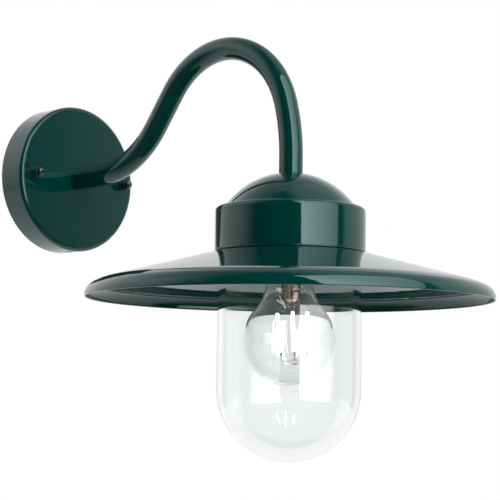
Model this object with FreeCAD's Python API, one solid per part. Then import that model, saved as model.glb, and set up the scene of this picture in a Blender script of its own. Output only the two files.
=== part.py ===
import FreeCAD, Part
import math
import os
from FreeCAD import Vector

# Gooseneck wall sconce with a spun shade, a screw-in glass jar and a clear lamp.
# Millimetres. Origin: centre of the wall face. +X right along the wall, +Y into the wall, +Z up,
# so the lamp stands out towards -Y.

# ---------------------------------------------------------------- driving sizes
# wall rose
ROSE_DIAMETER = 110.0
ROSE_DEPTH = 23.0
ROSE_WALL = 1.5
ROSE_EDGE_RADIUS = 3.0
ROSE_SEAL_WIDTH = 3.4
ROSE_SEAL_DEPTH = 3.0
DRAIN_HOLE_DIAMETER = 5.0
DRAIN_HOLE_FROM_WALL = 14.0

# steel bracket behind the rose
BRACKET_THICKNESS = 2.0
BRACKET_BAR_HEIGHT = 20.0
BRACKET_PLATE_WIDTH = 34.0
BRACKET_PLATE_HEIGHT = 78.0
WALL_SCREW_SPACING = 60.0
WALL_SLOT_WIDTH = 5.0
WALL_SLOT_LENGTH = 13.0
STUD_SPACING = 87.0
STUD_DIAMETER = 4.0
STUD_POINT = 0.5
STUD_FLANGE_DIAMETER = 6.0
STUD_FLANGE_THICKNESS = 0.8
CABLE_BUSHING_HEIGHT = 26.0
CABLE_BUSHING_BORE = 9.0
CABLE_BUSHING_WALL = 2.0
CABLE_BUSHING_LIP = 2.0

# cap nuts that hold the rose
NUT_BARREL_DIAMETER = 8.0
NUT_BARREL_LENGTH = 6.4
NUT_DOME_DIAMETER = 6.4
NUT_DOME_LENGTH = 3.4
NUT_CROWN_HEIGHT = 2.0
NUT_BORE_DEPTH = 8.0
NUT_SLOT_WIDTH = 1.0
NUT_SLOT_DEPTH = 1.2
NUT_WASHER_DIAMETER = 9.2
NUT_WASHER_THICKNESS = 0.8

# gooseneck tube: stub, first bend up, straight climb, arch over, easing into a short straight leg
TUBE_DIAMETER = 16.0
TUBE_WALL = 1.5
STUB_LENGTH = 23.3
FIRST_BEND_RADIUS = 77.5
CLIMB_ANGLE = 52.7
CLIMB_LENGTH = 28.5
ARCH_RADIUS = 62.3
EASE_RADIUS = 131.0
EASE_ANGLE = 16.4
LEG_LENGTH = 12.2

# threaded end fittings brazed into the tube, with their lock nuts
FITTING_PLUG_LENGTH = 11.0
FITTING_STUB_DIAMETER = 10.0
FITTING_BORE = 6.5
WALL_STUB_SPARE = 3.0
HEAD_STUB_SPARE = 1.5
LOCK_NUT_ACROSS_FLATS = 14.0
LOCK_NUT_THICKNESS = 4.0
LOCK_WASHER_DIAMETER = 17.0
LOCK_WASHER_THICKNESS = 0.8
LOCK_WASHER_TEETH = 12
LOCK_WASHER_NOTCH_RADIUS = 0.8

# cast lamp head; heights in the head are counted down from the end of the tube
DOME_RADIUS = 52.5
COLLAR_DIAMETER = 100.0
COLLAR_HEIGHT = 29.8
COLLAR_EDGE_RADIUS = 3.0
COLLAR_RIM_RADIUS = 1.2
COLLAR_LIP_WIDTH = 2.4
HEAD_HEIGHT = 52.5
HEAD_WALL = 3.0
HEAD_BOSS_DEPTH = 6.6
HEAD_BOSS_DIAMETER = 26.0
NECK_BORE_DEPTH = 20.0
SEAL_LEDGE_THICKNESS = 3.0

# jar thread
JAR_THREAD_PITCH = 5.0
JAR_THREAD_TURNS = 1.25
JAR_THREAD_DEPTH = 1.4
JAR_THREAD_WIDTH = 1.8
JAR_THREAD_FROM_RIM = 6.0

# glass jar
JAR_DIAMETER = 95.0
JAR_WALL = 5.0
JAR_NECK_DIAMETER = 81.8
JAR_NECK_WALL = 4.5
JAR_SHOULDER_GAP = 3.0
JAR_STRAIGHT_LENGTH = 77.8
JAR_LIP_RADIUS = 1.5
JAR_SEAL_THICKNESS = 2.5

# spun shade
SHADE_DIAMETER = 270.0
SHADE_SHEET = 1.2
SHADE_SLOPE = 14.8
SHADE_SHOULDER_RADIUS = 28.0
SHADE_SHOULDER_ANGLE = 31.0
SHADE_EDGE_RADIUS = 9.0
SHADE_SKIRT = 0.5
SHADE_SEAL_THICKNESS = 0.8
SHADE_SCREW_COUNT = 3
SHADE_SCREW_ANGLE = 90.0
SHADE_SCREW_DEPTH = 7.0

# small machine screws
M3_DIAMETER = 3.0
M3_HEAD_DIAMETER = 5.4
M3_HEAD_HEIGHT = 2.0
M4_DIAMETER = 4.0
M4_HEAD_DIAMETER = 7.6
M4_HEAD_HEIGHT = 2.6
M3_NUT_ACROSS_FLATS = 5.5
M3_NUT_THICKNESS = 2.4
DRIVER_SLOT_WIDTH = 0.9
DRIVER_SLOT_DEPTH = 1.0

# terminal block and inner wires
BLOCK_WIDTH = 21.0
BLOCK_HEIGHT = 18.0
BLOCK_DEPTH = 12.0
BLOCK_BELOW_AXIS = 15.0
POLE_SPACING = 10.4
CLAMP_DIAMETER = 4.8
CLAMP_BORE = 2.6
CLAMP_LENGTH = 14.0
CLAMP_SCREW_DIAMETER = 3.0
CLAMP_SCREW_SPACING = 7.0
WIRE_DIAMETER = 1.8
WIRE_BUNDLE_RADIUS = 1.2
WIRE_BEND_RADIUS = 3.5
WIRE_SPREAD = 4.6
WIRE_END_SPARE = 1.0
TAG_THICKNESS = 0.8
TAG_DIAMETER = 8.0
TAG_BARREL_DIAMETER = 3.2
TAG_BARREL_LENGTH = 5.0
EARTH_BOSS_DIAMETER = 9.0
EARTH_BOSS_HEIGHT = 3.4
EARTH_SCREW_REACH = 3.0
WALL_EARTH_X = -12.0
WALL_EARTH_Z = 14.0
HEAD_EARTH_RADIUS = 26.0
HEAD_EARTH_ANGLE = -45.0
HEAD_EARTH_DEPTH = 16.0

# lamp holder
STIRRUP_WIDTH = 16.0
STIRRUP_THICKNESS = 1.5
STIRRUP_SPAN = 34.0
STIRRUP_FOOT = 9.0
HOLDER_DROP = 22.0
HOLDER_FLANGE_DIAMETER = 52.0
HOLDER_FLANGE_THICKNESS = 5.0
HOLDER_BODY_DIAMETER = 37.0
HOLDER_LENGTH = 36.5
HOLDER_CAVITY_DIAMETER = 28.8
HOLDER_CEILING = 11.4
HOLDER_SCREW_SPACING = 45.0
HOLDER_SCREW_COUNT = 2
HOLDER_SCREW_ANGLE = 90.0
HOLDER_CHAMFER = 1.0
HOLDER_THREAD_TURNS = 3.0
SHELL_SHEET = 0.4
SHELL_LENGTH = 21.0
CONTACT_STRIP_LENGTH = 12.0
CONTACT_STRIP_WIDTH = 5.0
CONTACT_STRIP_THICKNESS = 0.6
CONTACT_POST_DIAMETER = 3.0
TERMINAL_LENGTH = 7.0
TERMINAL_WIDTH = 6.0
TERMINAL_HEIGHT = 6.4
TERMINAL_WIRE_HEIGHT = 2.9
TERMINAL_OFFSET = 10.0

# screw cap lamp
LAMP_THREAD_PITCH = 3.629
LAMP_THREAD_TURNS = 4.0
LAMP_THREAD_DEPTH = 1.1
LAMP_THREAD_WIDTH = 1.5
LAMP_CORE_DIAMETER = 24.0
LAMP_CAP_LENGTH = 24.8
LAMP_CAP_SHEET = 0.4
LAMP_CAP_RIM_DIAMETER = 26.4
LAMP_CAP_RIM_LENGTH = 4.0
LAMP_TIP_DIAMETER = 9.0
LAMP_TIP_HEIGHT = 0.7
LAMP_INSULATOR_HEIGHT = 2.2
LAMP_GLASS_RADIUS = 30.2
LAMP_GLASS_WALL = 0.8
LAMP_NECK_RADIUS = 15.9
LAMP_LENGTH = 106.0
LAMP_NECK_TO_CENTRE = 37.0
STEM_RADIUS = 5.4
STEM_LENGTH = 23.2
STEM_FLARE_LENGTH = 8.4
STEM_ROD_RADIUS = 1.0
STEM_BUTTON_RADIUS = 1.8
FILAMENT_COUNT = 4
FILAMENT_DIAMETER = 1.6
FILAMENT_LENGTH = 31.0
FILAMENT_TOP_RADIUS = 10.0
FILAMENT_FOOT_RADIUS = 8.5
FILAMENT_LIFT = 4.8
FILAMENT_TURN = -46.5
LEAD_DIAMETER = 0.6
LEAD_DROP = 3.0

# fits
SEAT_GAP = 0.3
RUNNING_GAP = 0.05
SCREW_GAP = 0.05
HOLE_GAP = 0.3
BRAZE_GAP = 0.05
THREAD_SINK = 0.3
CUT_SPARE = 1.0

# ---------------------------------------------------------------- sizes that follow
rose_radius = ROSE_DIAMETER / 2
rose_bore = rose_radius - ROSE_WALL
seal_outer = rose_bore - SEAT_GAP
seal_inner = seal_outer - ROSE_SEAL_WIDTH
bracket_reach = seal_inner - 2 * SEAT_GAP
bracket_front = BRACKET_THICKNESS
tube_radius = TUBE_DIAMETER / 2
tube_bore = tube_radius - TUBE_WALL
stub_radius = FITTING_STUB_DIAMETER / 2
climb = math.radians(CLIMB_ANGLE)
arch_start_y = (-ROSE_DEPTH - STUB_LENGTH - FIRST_BEND_RADIUS * math.sin(climb)
                - CLIMB_LENGTH * math.cos(climb))
arch_start_z = (FIRST_BEND_RADIUS * (1 - math.cos(climb)) + CLIMB_LENGTH * math.sin(climb))
arch_centre_y = arch_start_y - ARCH_RADIUS * math.sin(climb)
arch_centre_z = arch_start_z - ARCH_RADIUS * math.cos(climb)
ease_start = math.radians(EASE_ANGLE) - math.pi / 2
ease_centre_y = arch_centre_y - (EASE_RADIUS - ARCH_RADIUS) * math.sin(ease_start)
ease_centre_z = arch_centre_z - (EASE_RADIUS - ARCH_RADIUS) * math.cos(ease_start)
head_y = ease_centre_y - EASE_RADIUS
head_z = ease_centre_z - LEG_LENGTH
wall_fitting_end = ROSE_DEPTH - ROSE_WALL - LOCK_WASHER_THICKNESS - LOCK_NUT_THICKNESS - WALL_STUB_SPARE
stirrup_top = -HEAD_BOSS_DEPTH
stirrup_under = stirrup_top - STIRRUP_THICKNESS
head_fitting_end = stirrup_under - LOCK_WASHER_THICKNESS - LOCK_NUT_THICKNESS - HEAD_STUB_SPARE

seat_flat_radius = tube_radius + HOLE_GAP
dome_centre = -math.sqrt(DOME_RADIUS ** 2 - seat_flat_radius ** 2)
collar_radius = COLLAR_DIAMETER / 2
head_rim = -HEAD_HEIGHT
collar_top = head_rim + COLLAR_HEIGHT
ledge_radius = math.sqrt(DOME_RADIUS ** 2 - (collar_top - dome_centre) ** 2)
jar_neck_radius = JAR_NECK_DIAMETER / 2
neck_bore_radius = jar_neck_radius + JAR_THREAD_DEPTH + SEAT_GAP
ledge_under = head_rim + NECK_BORE_DEPTH
ledge_top = ledge_under + SEAL_LEDGE_THICKNESS
jar_neck_bore = jar_neck_radius - JAR_NECK_WALL
ledge_bore = jar_neck_bore + SEAT_GAP
jar_lip = ledge_under - JAR_SEAL_THICKNESS - 2 * SEAT_GAP
shade_screw_radius = (neck_bore_radius + collar_radius) / 2

shade_top = head_rim - SEAT_GAP
seal_seat = shade_top + SHADE_SEAL_THICKNESS
seal_seat_radius = collar_radius - COLLAR_LIP_WIDTH
shade_under = shade_top - SHADE_SHEET
shade_hole_radius = neck_bore_radius + HOLE_GAP
shade_flat_radius = collar_radius - HOLE_GAP
jar_radius = JAR_DIAMETER / 2
jar_shoulder = shade_under - M3_HEAD_HEIGHT - JAR_SHOULDER_GAP + 2 * SEAT_GAP

holder_top = -HOLDER_DROP
holder_ceiling = holder_top - HOLDER_CEILING
holder_mouth = holder_top - HOLDER_LENGTH
shell_outer = HOLDER_CAVITY_DIAMETER / 2 - SEAT_GAP
shell_inner = shell_outer - SHELL_SHEET
lamp_core_radius = LAMP_CORE_DIAMETER / 2
lamp_top = holder_ceiling - CONTACT_STRIP_THICKNESS - SEAT_GAP
lamp_cap_top = lamp_top - LAMP_TIP_HEIGHT - LAMP_INSULATOR_HEIGHT
lamp_cap_rim = lamp_cap_top - LAMP_CAP_LENGTH
lamp_centre = lamp_top - LAMP_LENGTH + LAMP_GLASS_RADIUS

X_AXIS = Vector(1, 0, 0)
Y_AXIS = Vector(0, 1, 0)
Z_AXIS = Vector(0, 0, 1)
ORIGIN = Vector(0, 0, 0)


# ---------------------------------------------------------------- helpers
def on_circle(centre, radius, degrees):
    turn = math.radians(degrees)
    return (centre[0] + radius * math.cos(turn), centre[1] + radius * math.sin(turn))


# A solid turned about Z from corners (radius, height); four numbers make an arc through
# the first pair that ends at the second pair.
def lathe(corners):
    edges = []
    last = Vector(corners[0][0], 0, corners[0][1])
    for corner in corners[1:] + corners[:1]:
        end = Vector(corner[-2], 0, corner[-1])
        if end.distanceToPoint(last) < 1e-7:
            continue
        if len(corner) == 4:
            middle = Vector(corner[0], 0, corner[1])
            edges.append(Part.Arc(last, middle, end).toShape())
        else:
            edges.append(Part.LineSegment(last, end).toShape())
        last = end
    solid = Part.Face(Part.Wire(edges)).revolve(ORIGIN, Z_AXIS, 360)
    if solid.Volume < 0:
        solid.reverse()
    return solid


# The last two corners of a profile that ends in a round crown: an arc over to its top on the axis.
def crown(radius, rise, top):
    ball = (radius ** 2 + rise ** 2) / (2 * rise)
    middle = on_circle((0, top - ball), ball, 90 - math.degrees(math.asin(radius / ball)) / 2)
    return (*middle, 0, top)


def disc(radius, low, high, x=0.0, y=0.0):
    return Part.makeCylinder(radius, high - low, Vector(x, y, low))


def ring(outer, inner, low, high):
    return disc(outer, low, high).cut(disc(inner, low - CUT_SPARE, high + CUT_SPARE))


def block(low, high):
    size = Vector(*high) - Vector(*low)
    return Part.makeBox(size.x, size.y, size.z, Vector(*low))


def hexagon(across_flats, low, high):
    corner = across_flats / math.sqrt(3)
    points = [Vector(*on_circle((0, 0), corner, 60 * i), low) for i in range(7)]
    return Part.Face(Part.makePolygon(points)).extrude(Vector(0, 0, high - low))


# What is turned about Z, seen from the wall: heights become distances out from the wall.
def out_from_wall(shape, x=0.0, z=0.0):
    turned = shape.copy()
    turned.rotate(ORIGIN, X_AXIS, 90)
    turned.translate(Vector(x, 0, z))
    return turned


def in_head(shape):
    placed = shape.copy()
    placed.translate(Vector(0, head_y, head_z))
    return placed


def cut_all(shape, tools):
    for tool in tools:
        shape = shape.cut(tool)
    return shape


def around(shape, count, first_angle=0.0):
    copies = []
    for i in range(count):
        copy = shape.copy()
        copy.rotate(ORIGIN, Z_AXIS, first_angle + 360.0 * i / count)
        copies.append(copy)
    return copies


# A pan head screw along Z: the head is below height `seat`, the shank reaches up from it.
def screw_up(diameter, head_diameter, head_height, reach, seat, x=0.0, y=0.0):
    edge = head_height / 3
    radius = head_diameter / 2
    head = lathe([(0, seat), (radius, seat), (radius, seat - head_height + edge),
                  (radius - edge, seat - head_height), (0, seat - head_height)])
    slot = block((-head_diameter, -DRIVER_SLOT_WIDTH / 2, seat - head_height - CUT_SPARE),
                 (head_diameter, DRIVER_SLOT_WIDTH / 2, seat - head_height + DRIVER_SLOT_DEPTH))
    screw = head.cut(slot).fuse(disc(diameter / 2 - SCREW_GAP, seat, seat + reach))
    screw.translate(Vector(x, y, 0))
    return screw.removeSplitter()


# A helical ridge on a round wall: from `wall` it stands out to `crest`, or in when crest is less.
def thread_ridge(wall, crest, pitch, turns, start, width):
    sink = THREAD_SINK if crest > wall else -THREAD_SINK
    half = width / 2
    corners = [Vector(wall - sink, 0, start - half), Vector(wall, 0, start - half),
               Vector(crest, 0, start - half / 2), Vector(crest, 0, start + half / 2),
               Vector(wall, 0, start + half), Vector(wall - sink, 0, start + half)]
    section = Part.makePolygon(corners + corners[:1])
    helix = Part.makeHelix(pitch, pitch * turns, wall)
    helix.translate(Vector(0, 0, start))
    ridge = Part.Wire(helix.Edges).makePipeShell([section], True, True)
    if ridge.Volume < 0:
        ridge.reverse()
    return ridge


# Straight runs joined by arcs; each inner corner has its own radius.
def rounded_route(points, radii):
    edges = []
    last = points[0]
    for corner, following, radius in zip(points[1:-1], points[2:], radii):
        back = (last - corner).normalize()
        ahead = (following - corner).normalize()
        turn = math.pi - back.getAngle(ahead)
        reach = radius * math.tan(turn / 2)
        start = corner + back * reach
        end = corner + ahead * reach
        inward = (back + ahead).normalize()
        middle = corner + inward * (radius / math.cos(turn / 2) - radius)
        edges.append(Part.LineSegment(last, start).toShape())
        edges.append(Part.Arc(start, middle, end).toShape())
        last = end
    edges.append(Part.LineSegment(last, points[-1]).toShape())
    return edges


# The centre line of the gooseneck, shifted sideways by `side` and outwards by `over`.
def arm_line(side=0.0, over=0.0):
    def bend(centre_y, centre_z, radius, first, last):
        points = []
        for part in (0.0, 0.5, 1.0):
            angle = first + (last - first) * part
            points.append(Vector(side, centre_y + radius * math.sin(angle),
                                 centre_z + radius * math.cos(angle)))
        return Part.Arc(*points).toShape()

    first_bend = bend(-ROSE_DEPTH - STUB_LENGTH, FIRST_BEND_RADIUS, FIRST_BEND_RADIUS - over,
                      math.pi, math.pi + climb)
    arch = bend(arch_centre_y, arch_centre_z, ARCH_RADIUS + over, climb, ease_start)
    ease = bend(ease_centre_y, ease_centre_z, EASE_RADIUS + over, ease_start, -math.pi / 2)
    stub = Part.LineSegment(Vector(side, -ROSE_DEPTH, over), first_bend.firstVertex().Point).toShape()
    slope = Part.LineSegment(first_bend.lastVertex().Point, arch.firstVertex().Point).toShape()
    leg = Part.LineSegment(ease.lastVertex().Point, Vector(side, head_y - over, head_z)).toShape()
    return [stub, first_bend, slope, arch, ease, leg]


def sweep_round(edges, radius, start, direction):
    section = Part.Wire(Part.makeCircle(radius, start, direction))
    pipe = Part.Wire(edges).makePipeShell([section], True, False)
    if pipe.Volume < 0:
        pipe.reverse()
    return pipe


# ---------------------------------------------------------------- bracket behind the rose
def slot_cut(x, length, width, thickness):
    half = length / 2 - width / 2
    cut = block((x - half, -width / 2, -CUT_SPARE), (x + half, width / 2, thickness + CUT_SPARE))
    for end in (x - half, x + half):
        cut = cut.fuse(disc(width / 2, -CUT_SPARE, thickness + CUT_SPARE, end))
    return cut


def make_wall_bracket():
    half_bar = BRACKET_BAR_HEIGHT / 2
    bar_centre = bracket_reach - half_bar
    bar = block((-bar_centre, -half_bar, 0), (bar_centre, half_bar, BRACKET_THICKNESS))
    for side in (-1, 1):
        bar = bar.fuse(disc(half_bar, 0, BRACKET_THICKNESS, side * bar_centre))
    plate = block((-BRACKET_PLATE_WIDTH / 2, -BRACKET_PLATE_HEIGHT / 2, 0),
                  (BRACKET_PLATE_WIDTH / 2, BRACKET_PLATE_HEIGHT / 2, BRACKET_THICKNESS))
    boss = disc(EARTH_BOSS_DIAMETER / 2, 0, bracket_front + EARTH_BOSS_HEIGHT, WALL_EARTH_X, WALL_EARTH_Z)
    bracket = bar.fuse(plate).fuse(boss).removeSplitter()
    boss_front = bracket_front + EARTH_BOSS_HEIGHT
    cuts = [slot_cut(side * WALL_SCREW_SPACING / 2, WALL_SLOT_LENGTH, WALL_SLOT_WIDTH, BRACKET_THICKNESS)
            for side in (-1, 1)]
    cuts.append(disc(bushing_body_radius() + SEAT_GAP, -CUT_SPARE, bracket_front + CUT_SPARE,
                     0, CABLE_BUSHING_HEIGHT))
    cuts.append(disc(M4_DIAMETER / 2, boss_front - EARTH_SCREW_REACH - SEAT_GAP, boss_front + CUT_SPARE,
                     WALL_EARTH_X, WALL_EARTH_Z))
    cuts.append(disc(M3_DIAMETER / 2, -CUT_SPARE, bracket_front + CUT_SPARE, 0, -block_middle()))
    return out_from_wall(cut_all(bracket, cuts))


def bushing_body_radius():
    return CABLE_BUSHING_BORE / 2 + CABLE_BUSHING_WALL


def block_middle():
    return BLOCK_BELOW_AXIS + BLOCK_HEIGHT / 2


def make_bracket_studs():
    flange = disc(STUD_FLANGE_DIAMETER / 2, bracket_front, bracket_front + STUD_FLANGE_THICKNESS)
    tip = ROSE_DEPTH + NUT_WASHER_THICKNESS + NUT_BORE_DEPTH - 2 * SEAT_GAP
    radius = STUD_DIAMETER / 2
    shank = lathe([(0, bracket_front), (radius, bracket_front), (radius, tip - STUD_POINT),
                   (radius - STUD_POINT, tip), (0, tip)])
    stud = flange.fuse(shank).removeSplitter()
    return Part.makeCompound([out_from_wall(stud, side * STUD_SPACING / 2) for side in (-1, 1)])


def make_cable_bushing():
    bore = CABLE_BUSHING_BORE / 2
    body = bushing_body_radius()
    lip = body + CABLE_BUSHING_LIP
    front = bracket_front + SEAT_GAP
    thick = CABLE_BUSHING_WALL
    profile = [(bore, SEAT_GAP), (body, SEAT_GAP), (body, front), (lip, front), (lip, front + thick / 2),
               (lip - thick / 2, front + thick), (bore, front + thick)]
    return out_from_wall(lathe(profile), 0, CABLE_BUSHING_HEIGHT)


# ---------------------------------------------------------------- rose
def make_rose_cup():
    edge = ROSE_EDGE_RADIUS
    inner_edge = edge - ROSE_WALL
    front = ROSE_DEPTH
    floor = ROSE_DEPTH - ROSE_WALL
    outer_mid = on_circle((rose_radius - edge, front - edge), edge, 45)
    inner_mid = on_circle((rose_radius - edge, front - edge), inner_edge, 45)
    profile = [(0, front), (rose_radius - edge, front), (*outer_mid, rose_radius, front - edge),
               (rose_radius, 0), (rose_bore, 0), (rose_bore, front - edge),
               (*inner_mid, rose_radius - edge, floor), (0, floor)]
    cup = lathe(profile)
    cuts = [disc(stub_radius + HOLE_GAP, floor - CUT_SPARE, front + CUT_SPARE)]
    for side in (-1, 1):
        cuts.append(disc(STUD_DIAMETER / 2 + HOLE_GAP, floor - CUT_SPARE, front + CUT_SPARE,
                         side * STUD_SPACING / 2))
    drain = Part.makeCylinder(DRAIN_HOLE_DIAMETER / 2, 4 * ROSE_WALL,
                              Vector(0, -rose_radius + 2 * ROSE_WALL, DRAIN_HOLE_FROM_WALL), Vector(0, -1, 0))
    cuts.append(drain)
    return out_from_wall(cut_all(cup, cuts))


def make_rose_seal():
    return out_from_wall(ring(seal_outer, seal_inner, 0, ROSE_SEAL_DEPTH))


def make_nut_washer(side):
    washer = ring(NUT_WASHER_DIAMETER / 2, STUD_DIAMETER / 2 + HOLE_GAP, ROSE_DEPTH,
                  ROSE_DEPTH + NUT_WASHER_THICKNESS)
    return out_from_wall(washer, side * STUD_SPACING / 2)


def make_cap_nut(side):
    base = ROSE_DEPTH + NUT_WASHER_THICKNESS
    step = base + NUT_BARREL_LENGTH
    tip = step + NUT_DOME_LENGTH
    barrel = NUT_BARREL_DIAMETER / 2
    dome = NUT_DOME_DIAMETER / 2
    edge = (barrel - dome) / 2
    profile = [(0, base), (barrel, base), (barrel, step - edge), (barrel - edge, step), (dome, step),
               (dome, tip - NUT_CROWN_HEIGHT), crown(dome, NUT_CROWN_HEIGHT, tip)]
    bore = disc(STUD_DIAMETER / 2 + RUNNING_GAP, base - CUT_SPARE, base + NUT_BORE_DEPTH)
    slot = block((-barrel, -NUT_SLOT_WIDTH / 2, tip - NUT_SLOT_DEPTH),
                 (barrel, NUT_SLOT_WIDTH / 2, tip + CUT_SPARE))
    return out_from_wall(lathe(profile).cut(bore).cut(slot), side * STUD_SPACING / 2)


# ---------------------------------------------------------------- gooseneck and its fittings
def make_arm_tube():
    start = Vector(0, -ROSE_DEPTH, 0)
    outer = sweep_round(arm_line(), tube_radius, start, Y_AXIS)
    bore = sweep_round(arm_line(), tube_bore, start, Y_AXIS)
    return outer.cut(bore)


# Turned fitting: a plug brazed inside the tube and a hollow threaded stub beyond its end.
def end_fitting(plug_end, tube_end, stub_end):
    plug = disc(tube_bore - BRAZE_GAP, min(plug_end, tube_end), max(plug_end, tube_end))
    stub = disc(stub_radius, min(stub_end, tube_end), max(stub_end, tube_end))
    bore = disc(FITTING_BORE / 2, min(plug_end, stub_end) - CUT_SPARE, max(plug_end, stub_end) + CUT_SPARE)
    return plug.fuse(stub).cut(bore)


def make_wall_fitting():
    return out_from_wall(end_fitting(ROSE_DEPTH + FITTING_PLUG_LENGTH, ROSE_DEPTH, wall_fitting_end))


def make_head_fitting():
    return in_head(end_fitting(FITTING_PLUG_LENGTH, 0, head_fitting_end))


# A washer with raised teeth cut in its edge.
def lock_washer(low):
    washer = ring(LOCK_WASHER_DIAMETER / 2, stub_radius + HOLE_GAP, low, low + LOCK_WASHER_THICKNESS)
    notch = disc(LOCK_WASHER_NOTCH_RADIUS, low - CUT_SPARE, low + LOCK_WASHER_THICKNESS + CUT_SPARE,
                 LOCK_WASHER_DIAMETER / 2)
    return cut_all(washer, around(notch, LOCK_WASHER_TEETH))


def lock_nut(low):
    nut = hexagon(LOCK_NUT_ACROSS_FLATS, low, low + LOCK_NUT_THICKNESS)
    return nut.cut(disc(stub_radius + SCREW_GAP, low - CUT_SPARE, low + LOCK_NUT_THICKNESS + CUT_SPARE))


def make_wall_lock_washer():
    return out_from_wall(lock_washer(ROSE_DEPTH - ROSE_WALL - LOCK_WASHER_THICKNESS))


def make_wall_lock_nut():
    return out_from_wall(lock_nut(ROSE_DEPTH - ROSE_WALL - LOCK_WASHER_THICKNESS - LOCK_NUT_THICKNESS))


def make_head_lock_washer():
    return in_head(lock_washer(stirrup_under - LOCK_WASHER_THICKNESS))


def make_head_lock_nut():
    return in_head(lock_nut(stirrup_under - LOCK_WASHER_THICKNESS - LOCK_NUT_THICKNESS))


# ---------------------------------------------------------------- lamp head
def make_lamp_head():
    centre = (0, dome_centre)
    inner_radius = DOME_RADIUS - HEAD_WALL
    seat_angle = math.degrees(math.asin(-dome_centre / DOME_RADIUS))
    ledge_angle = math.degrees(math.asin((collar_top - dome_centre) / DOME_RADIUS))
    inner_low = math.degrees(math.asin((ledge_top - dome_centre) / inner_radius))
    edge_centre = (collar_radius - COLLAR_EDGE_RADIUS, collar_top - COLLAR_EDGE_RADIUS)
    rim_centre = (collar_radius - COLLAR_RIM_RADIUS, head_rim + COLLAR_RIM_RADIUS)
    profile = [(0, 0), (seat_flat_radius, 0),
               (*on_circle(centre, DOME_RADIUS, (seat_angle + ledge_angle) / 2), ledge_radius, collar_top),
               (edge_centre[0], collar_top),
               (*on_circle(edge_centre, COLLAR_EDGE_RADIUS, 45), collar_radius, edge_centre[1]),
               (collar_radius, rim_centre[1]),
               (*on_circle(rim_centre, COLLAR_RIM_RADIUS, -45), rim_centre[0], head_rim),
               (seal_seat_radius, head_rim), (seal_seat_radius, seal_seat),
               (neck_bore_radius, seal_seat), (neck_bore_radius, ledge_under),
               (ledge_bore, ledge_under), (ledge_bore, ledge_top), on_circle(centre, inner_radius, inner_low),
               (*on_circle(centre, inner_radius, (inner_low + 90) / 2), 0, dome_centre + inner_radius)]
    head = lathe(profile)
    boss = disc(HEAD_BOSS_DIAMETER / 2, -HEAD_BOSS_DEPTH, -HEAD_WALL / 2)
    inner_skin = dome_centre + math.sqrt(inner_radius ** 2 - HEAD_EARTH_RADIUS ** 2)
    earth_boss = disc(EARTH_BOSS_DIAMETER / 2, -HEAD_EARTH_DEPTH, inner_skin + HEAD_WALL / 2, *head_earth())
    thread = thread_ridge(neck_bore_radius, neck_bore_radius - JAR_THREAD_DEPTH, JAR_THREAD_PITCH,
                          JAR_THREAD_TURNS, head_rim + JAR_THREAD_FROM_RIM, JAR_THREAD_WIDTH)
    head = head.fuse(boss).fuse(earth_boss).fuse(thread)
    cuts = [disc(stub_radius + HOLE_GAP, -2 * HEAD_BOSS_DEPTH, CUT_SPARE),
            disc(M4_DIAMETER / 2, -HEAD_EARTH_DEPTH - CUT_SPARE,
                 -HEAD_EARTH_DEPTH + EARTH_SCREW_REACH + SEAT_GAP, *head_earth())]
    cuts += around(disc(M3_DIAMETER / 2, head_rim - CUT_SPARE, head_rim + SHADE_SCREW_DEPTH,
                        shade_screw_radius),
                   SHADE_SCREW_COUNT, SHADE_SCREW_ANGLE)
    return in_head(cut_all(head, cuts))


def head_earth():
    return on_circle((0, 0), HEAD_EARTH_RADIUS, HEAD_EARTH_ANGLE)


# ---------------------------------------------------------------- shade
# The sheet's profile is a cone, a wide shoulder arc that steepens it and a tight edge arc down to
# a short skirt; each arc starts where the last one leaves off, and the inside follows one sheet in.
def make_shade():
    slope = math.radians(SHADE_SLOPE)
    steep = math.radians(SHADE_SHOULDER_ANGLE)
    radius = SHADE_DIAMETER / 2
    edge = SHADE_EDGE_RADIUS
    inner_edge = edge - SHADE_SHEET
    shoulder = SHADE_SHOULDER_RADIUS
    inner_shoulder = shoulder - SHADE_SHEET
    edge_from = 90 - SHADE_SHOULDER_ANGLE
    shoulder_from = 90 - SHADE_SLOPE
    shoulder_mid = (edge_from + shoulder_from) / 2
    shoulder_r = radius - edge - (shoulder - edge) * math.sin(steep)
    touch_r = shoulder_r + shoulder * math.sin(slope)
    touch_z = shade_top - (touch_r - shade_flat_radius) * math.tan(slope)
    shoulder_centre = (shoulder_r, touch_z - shoulder * math.cos(slope))
    edge_centre = (radius - edge, shoulder_centre[1] + (shoulder - edge) * math.cos(steep))
    lip = edge_centre[1] - SHADE_SKIRT
    inner_flat = shade_flat_radius - SHADE_SHEET * math.tan(slope / 2)
    hem = SHADE_SHEET / 2
    profile = [(shade_hole_radius, shade_top), (shade_flat_radius, shade_top), (touch_r, touch_z),
               (*on_circle(shoulder_centre, shoulder, shoulder_mid),
                *on_circle(edge_centre, edge, edge_from)),
               (*on_circle(edge_centre, edge, edge_from / 2), radius, edge_centre[1]), (radius, lip),
               (radius - hem, lip - hem, radius - SHADE_SHEET, lip), (radius - SHADE_SHEET, edge_centre[1]),
               (*on_circle(edge_centre, inner_edge, edge_from / 2),
                *on_circle(edge_centre, inner_edge, edge_from)),
               (*on_circle(shoulder_centre, inner_shoulder, shoulder_mid),
                *on_circle(shoulder_centre, inner_shoulder, shoulder_from)),
               (inner_flat, shade_under), (shade_hole_radius, shade_under)]
    holes = around(disc(M3_DIAMETER / 2 + HOLE_GAP, shade_under - CUT_SPARE, shade_top + CUT_SPARE,
                        shade_screw_radius),
                   SHADE_SCREW_COUNT, SHADE_SCREW_ANGLE)
    return in_head(cut_all(lathe(profile), holes))


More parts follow.
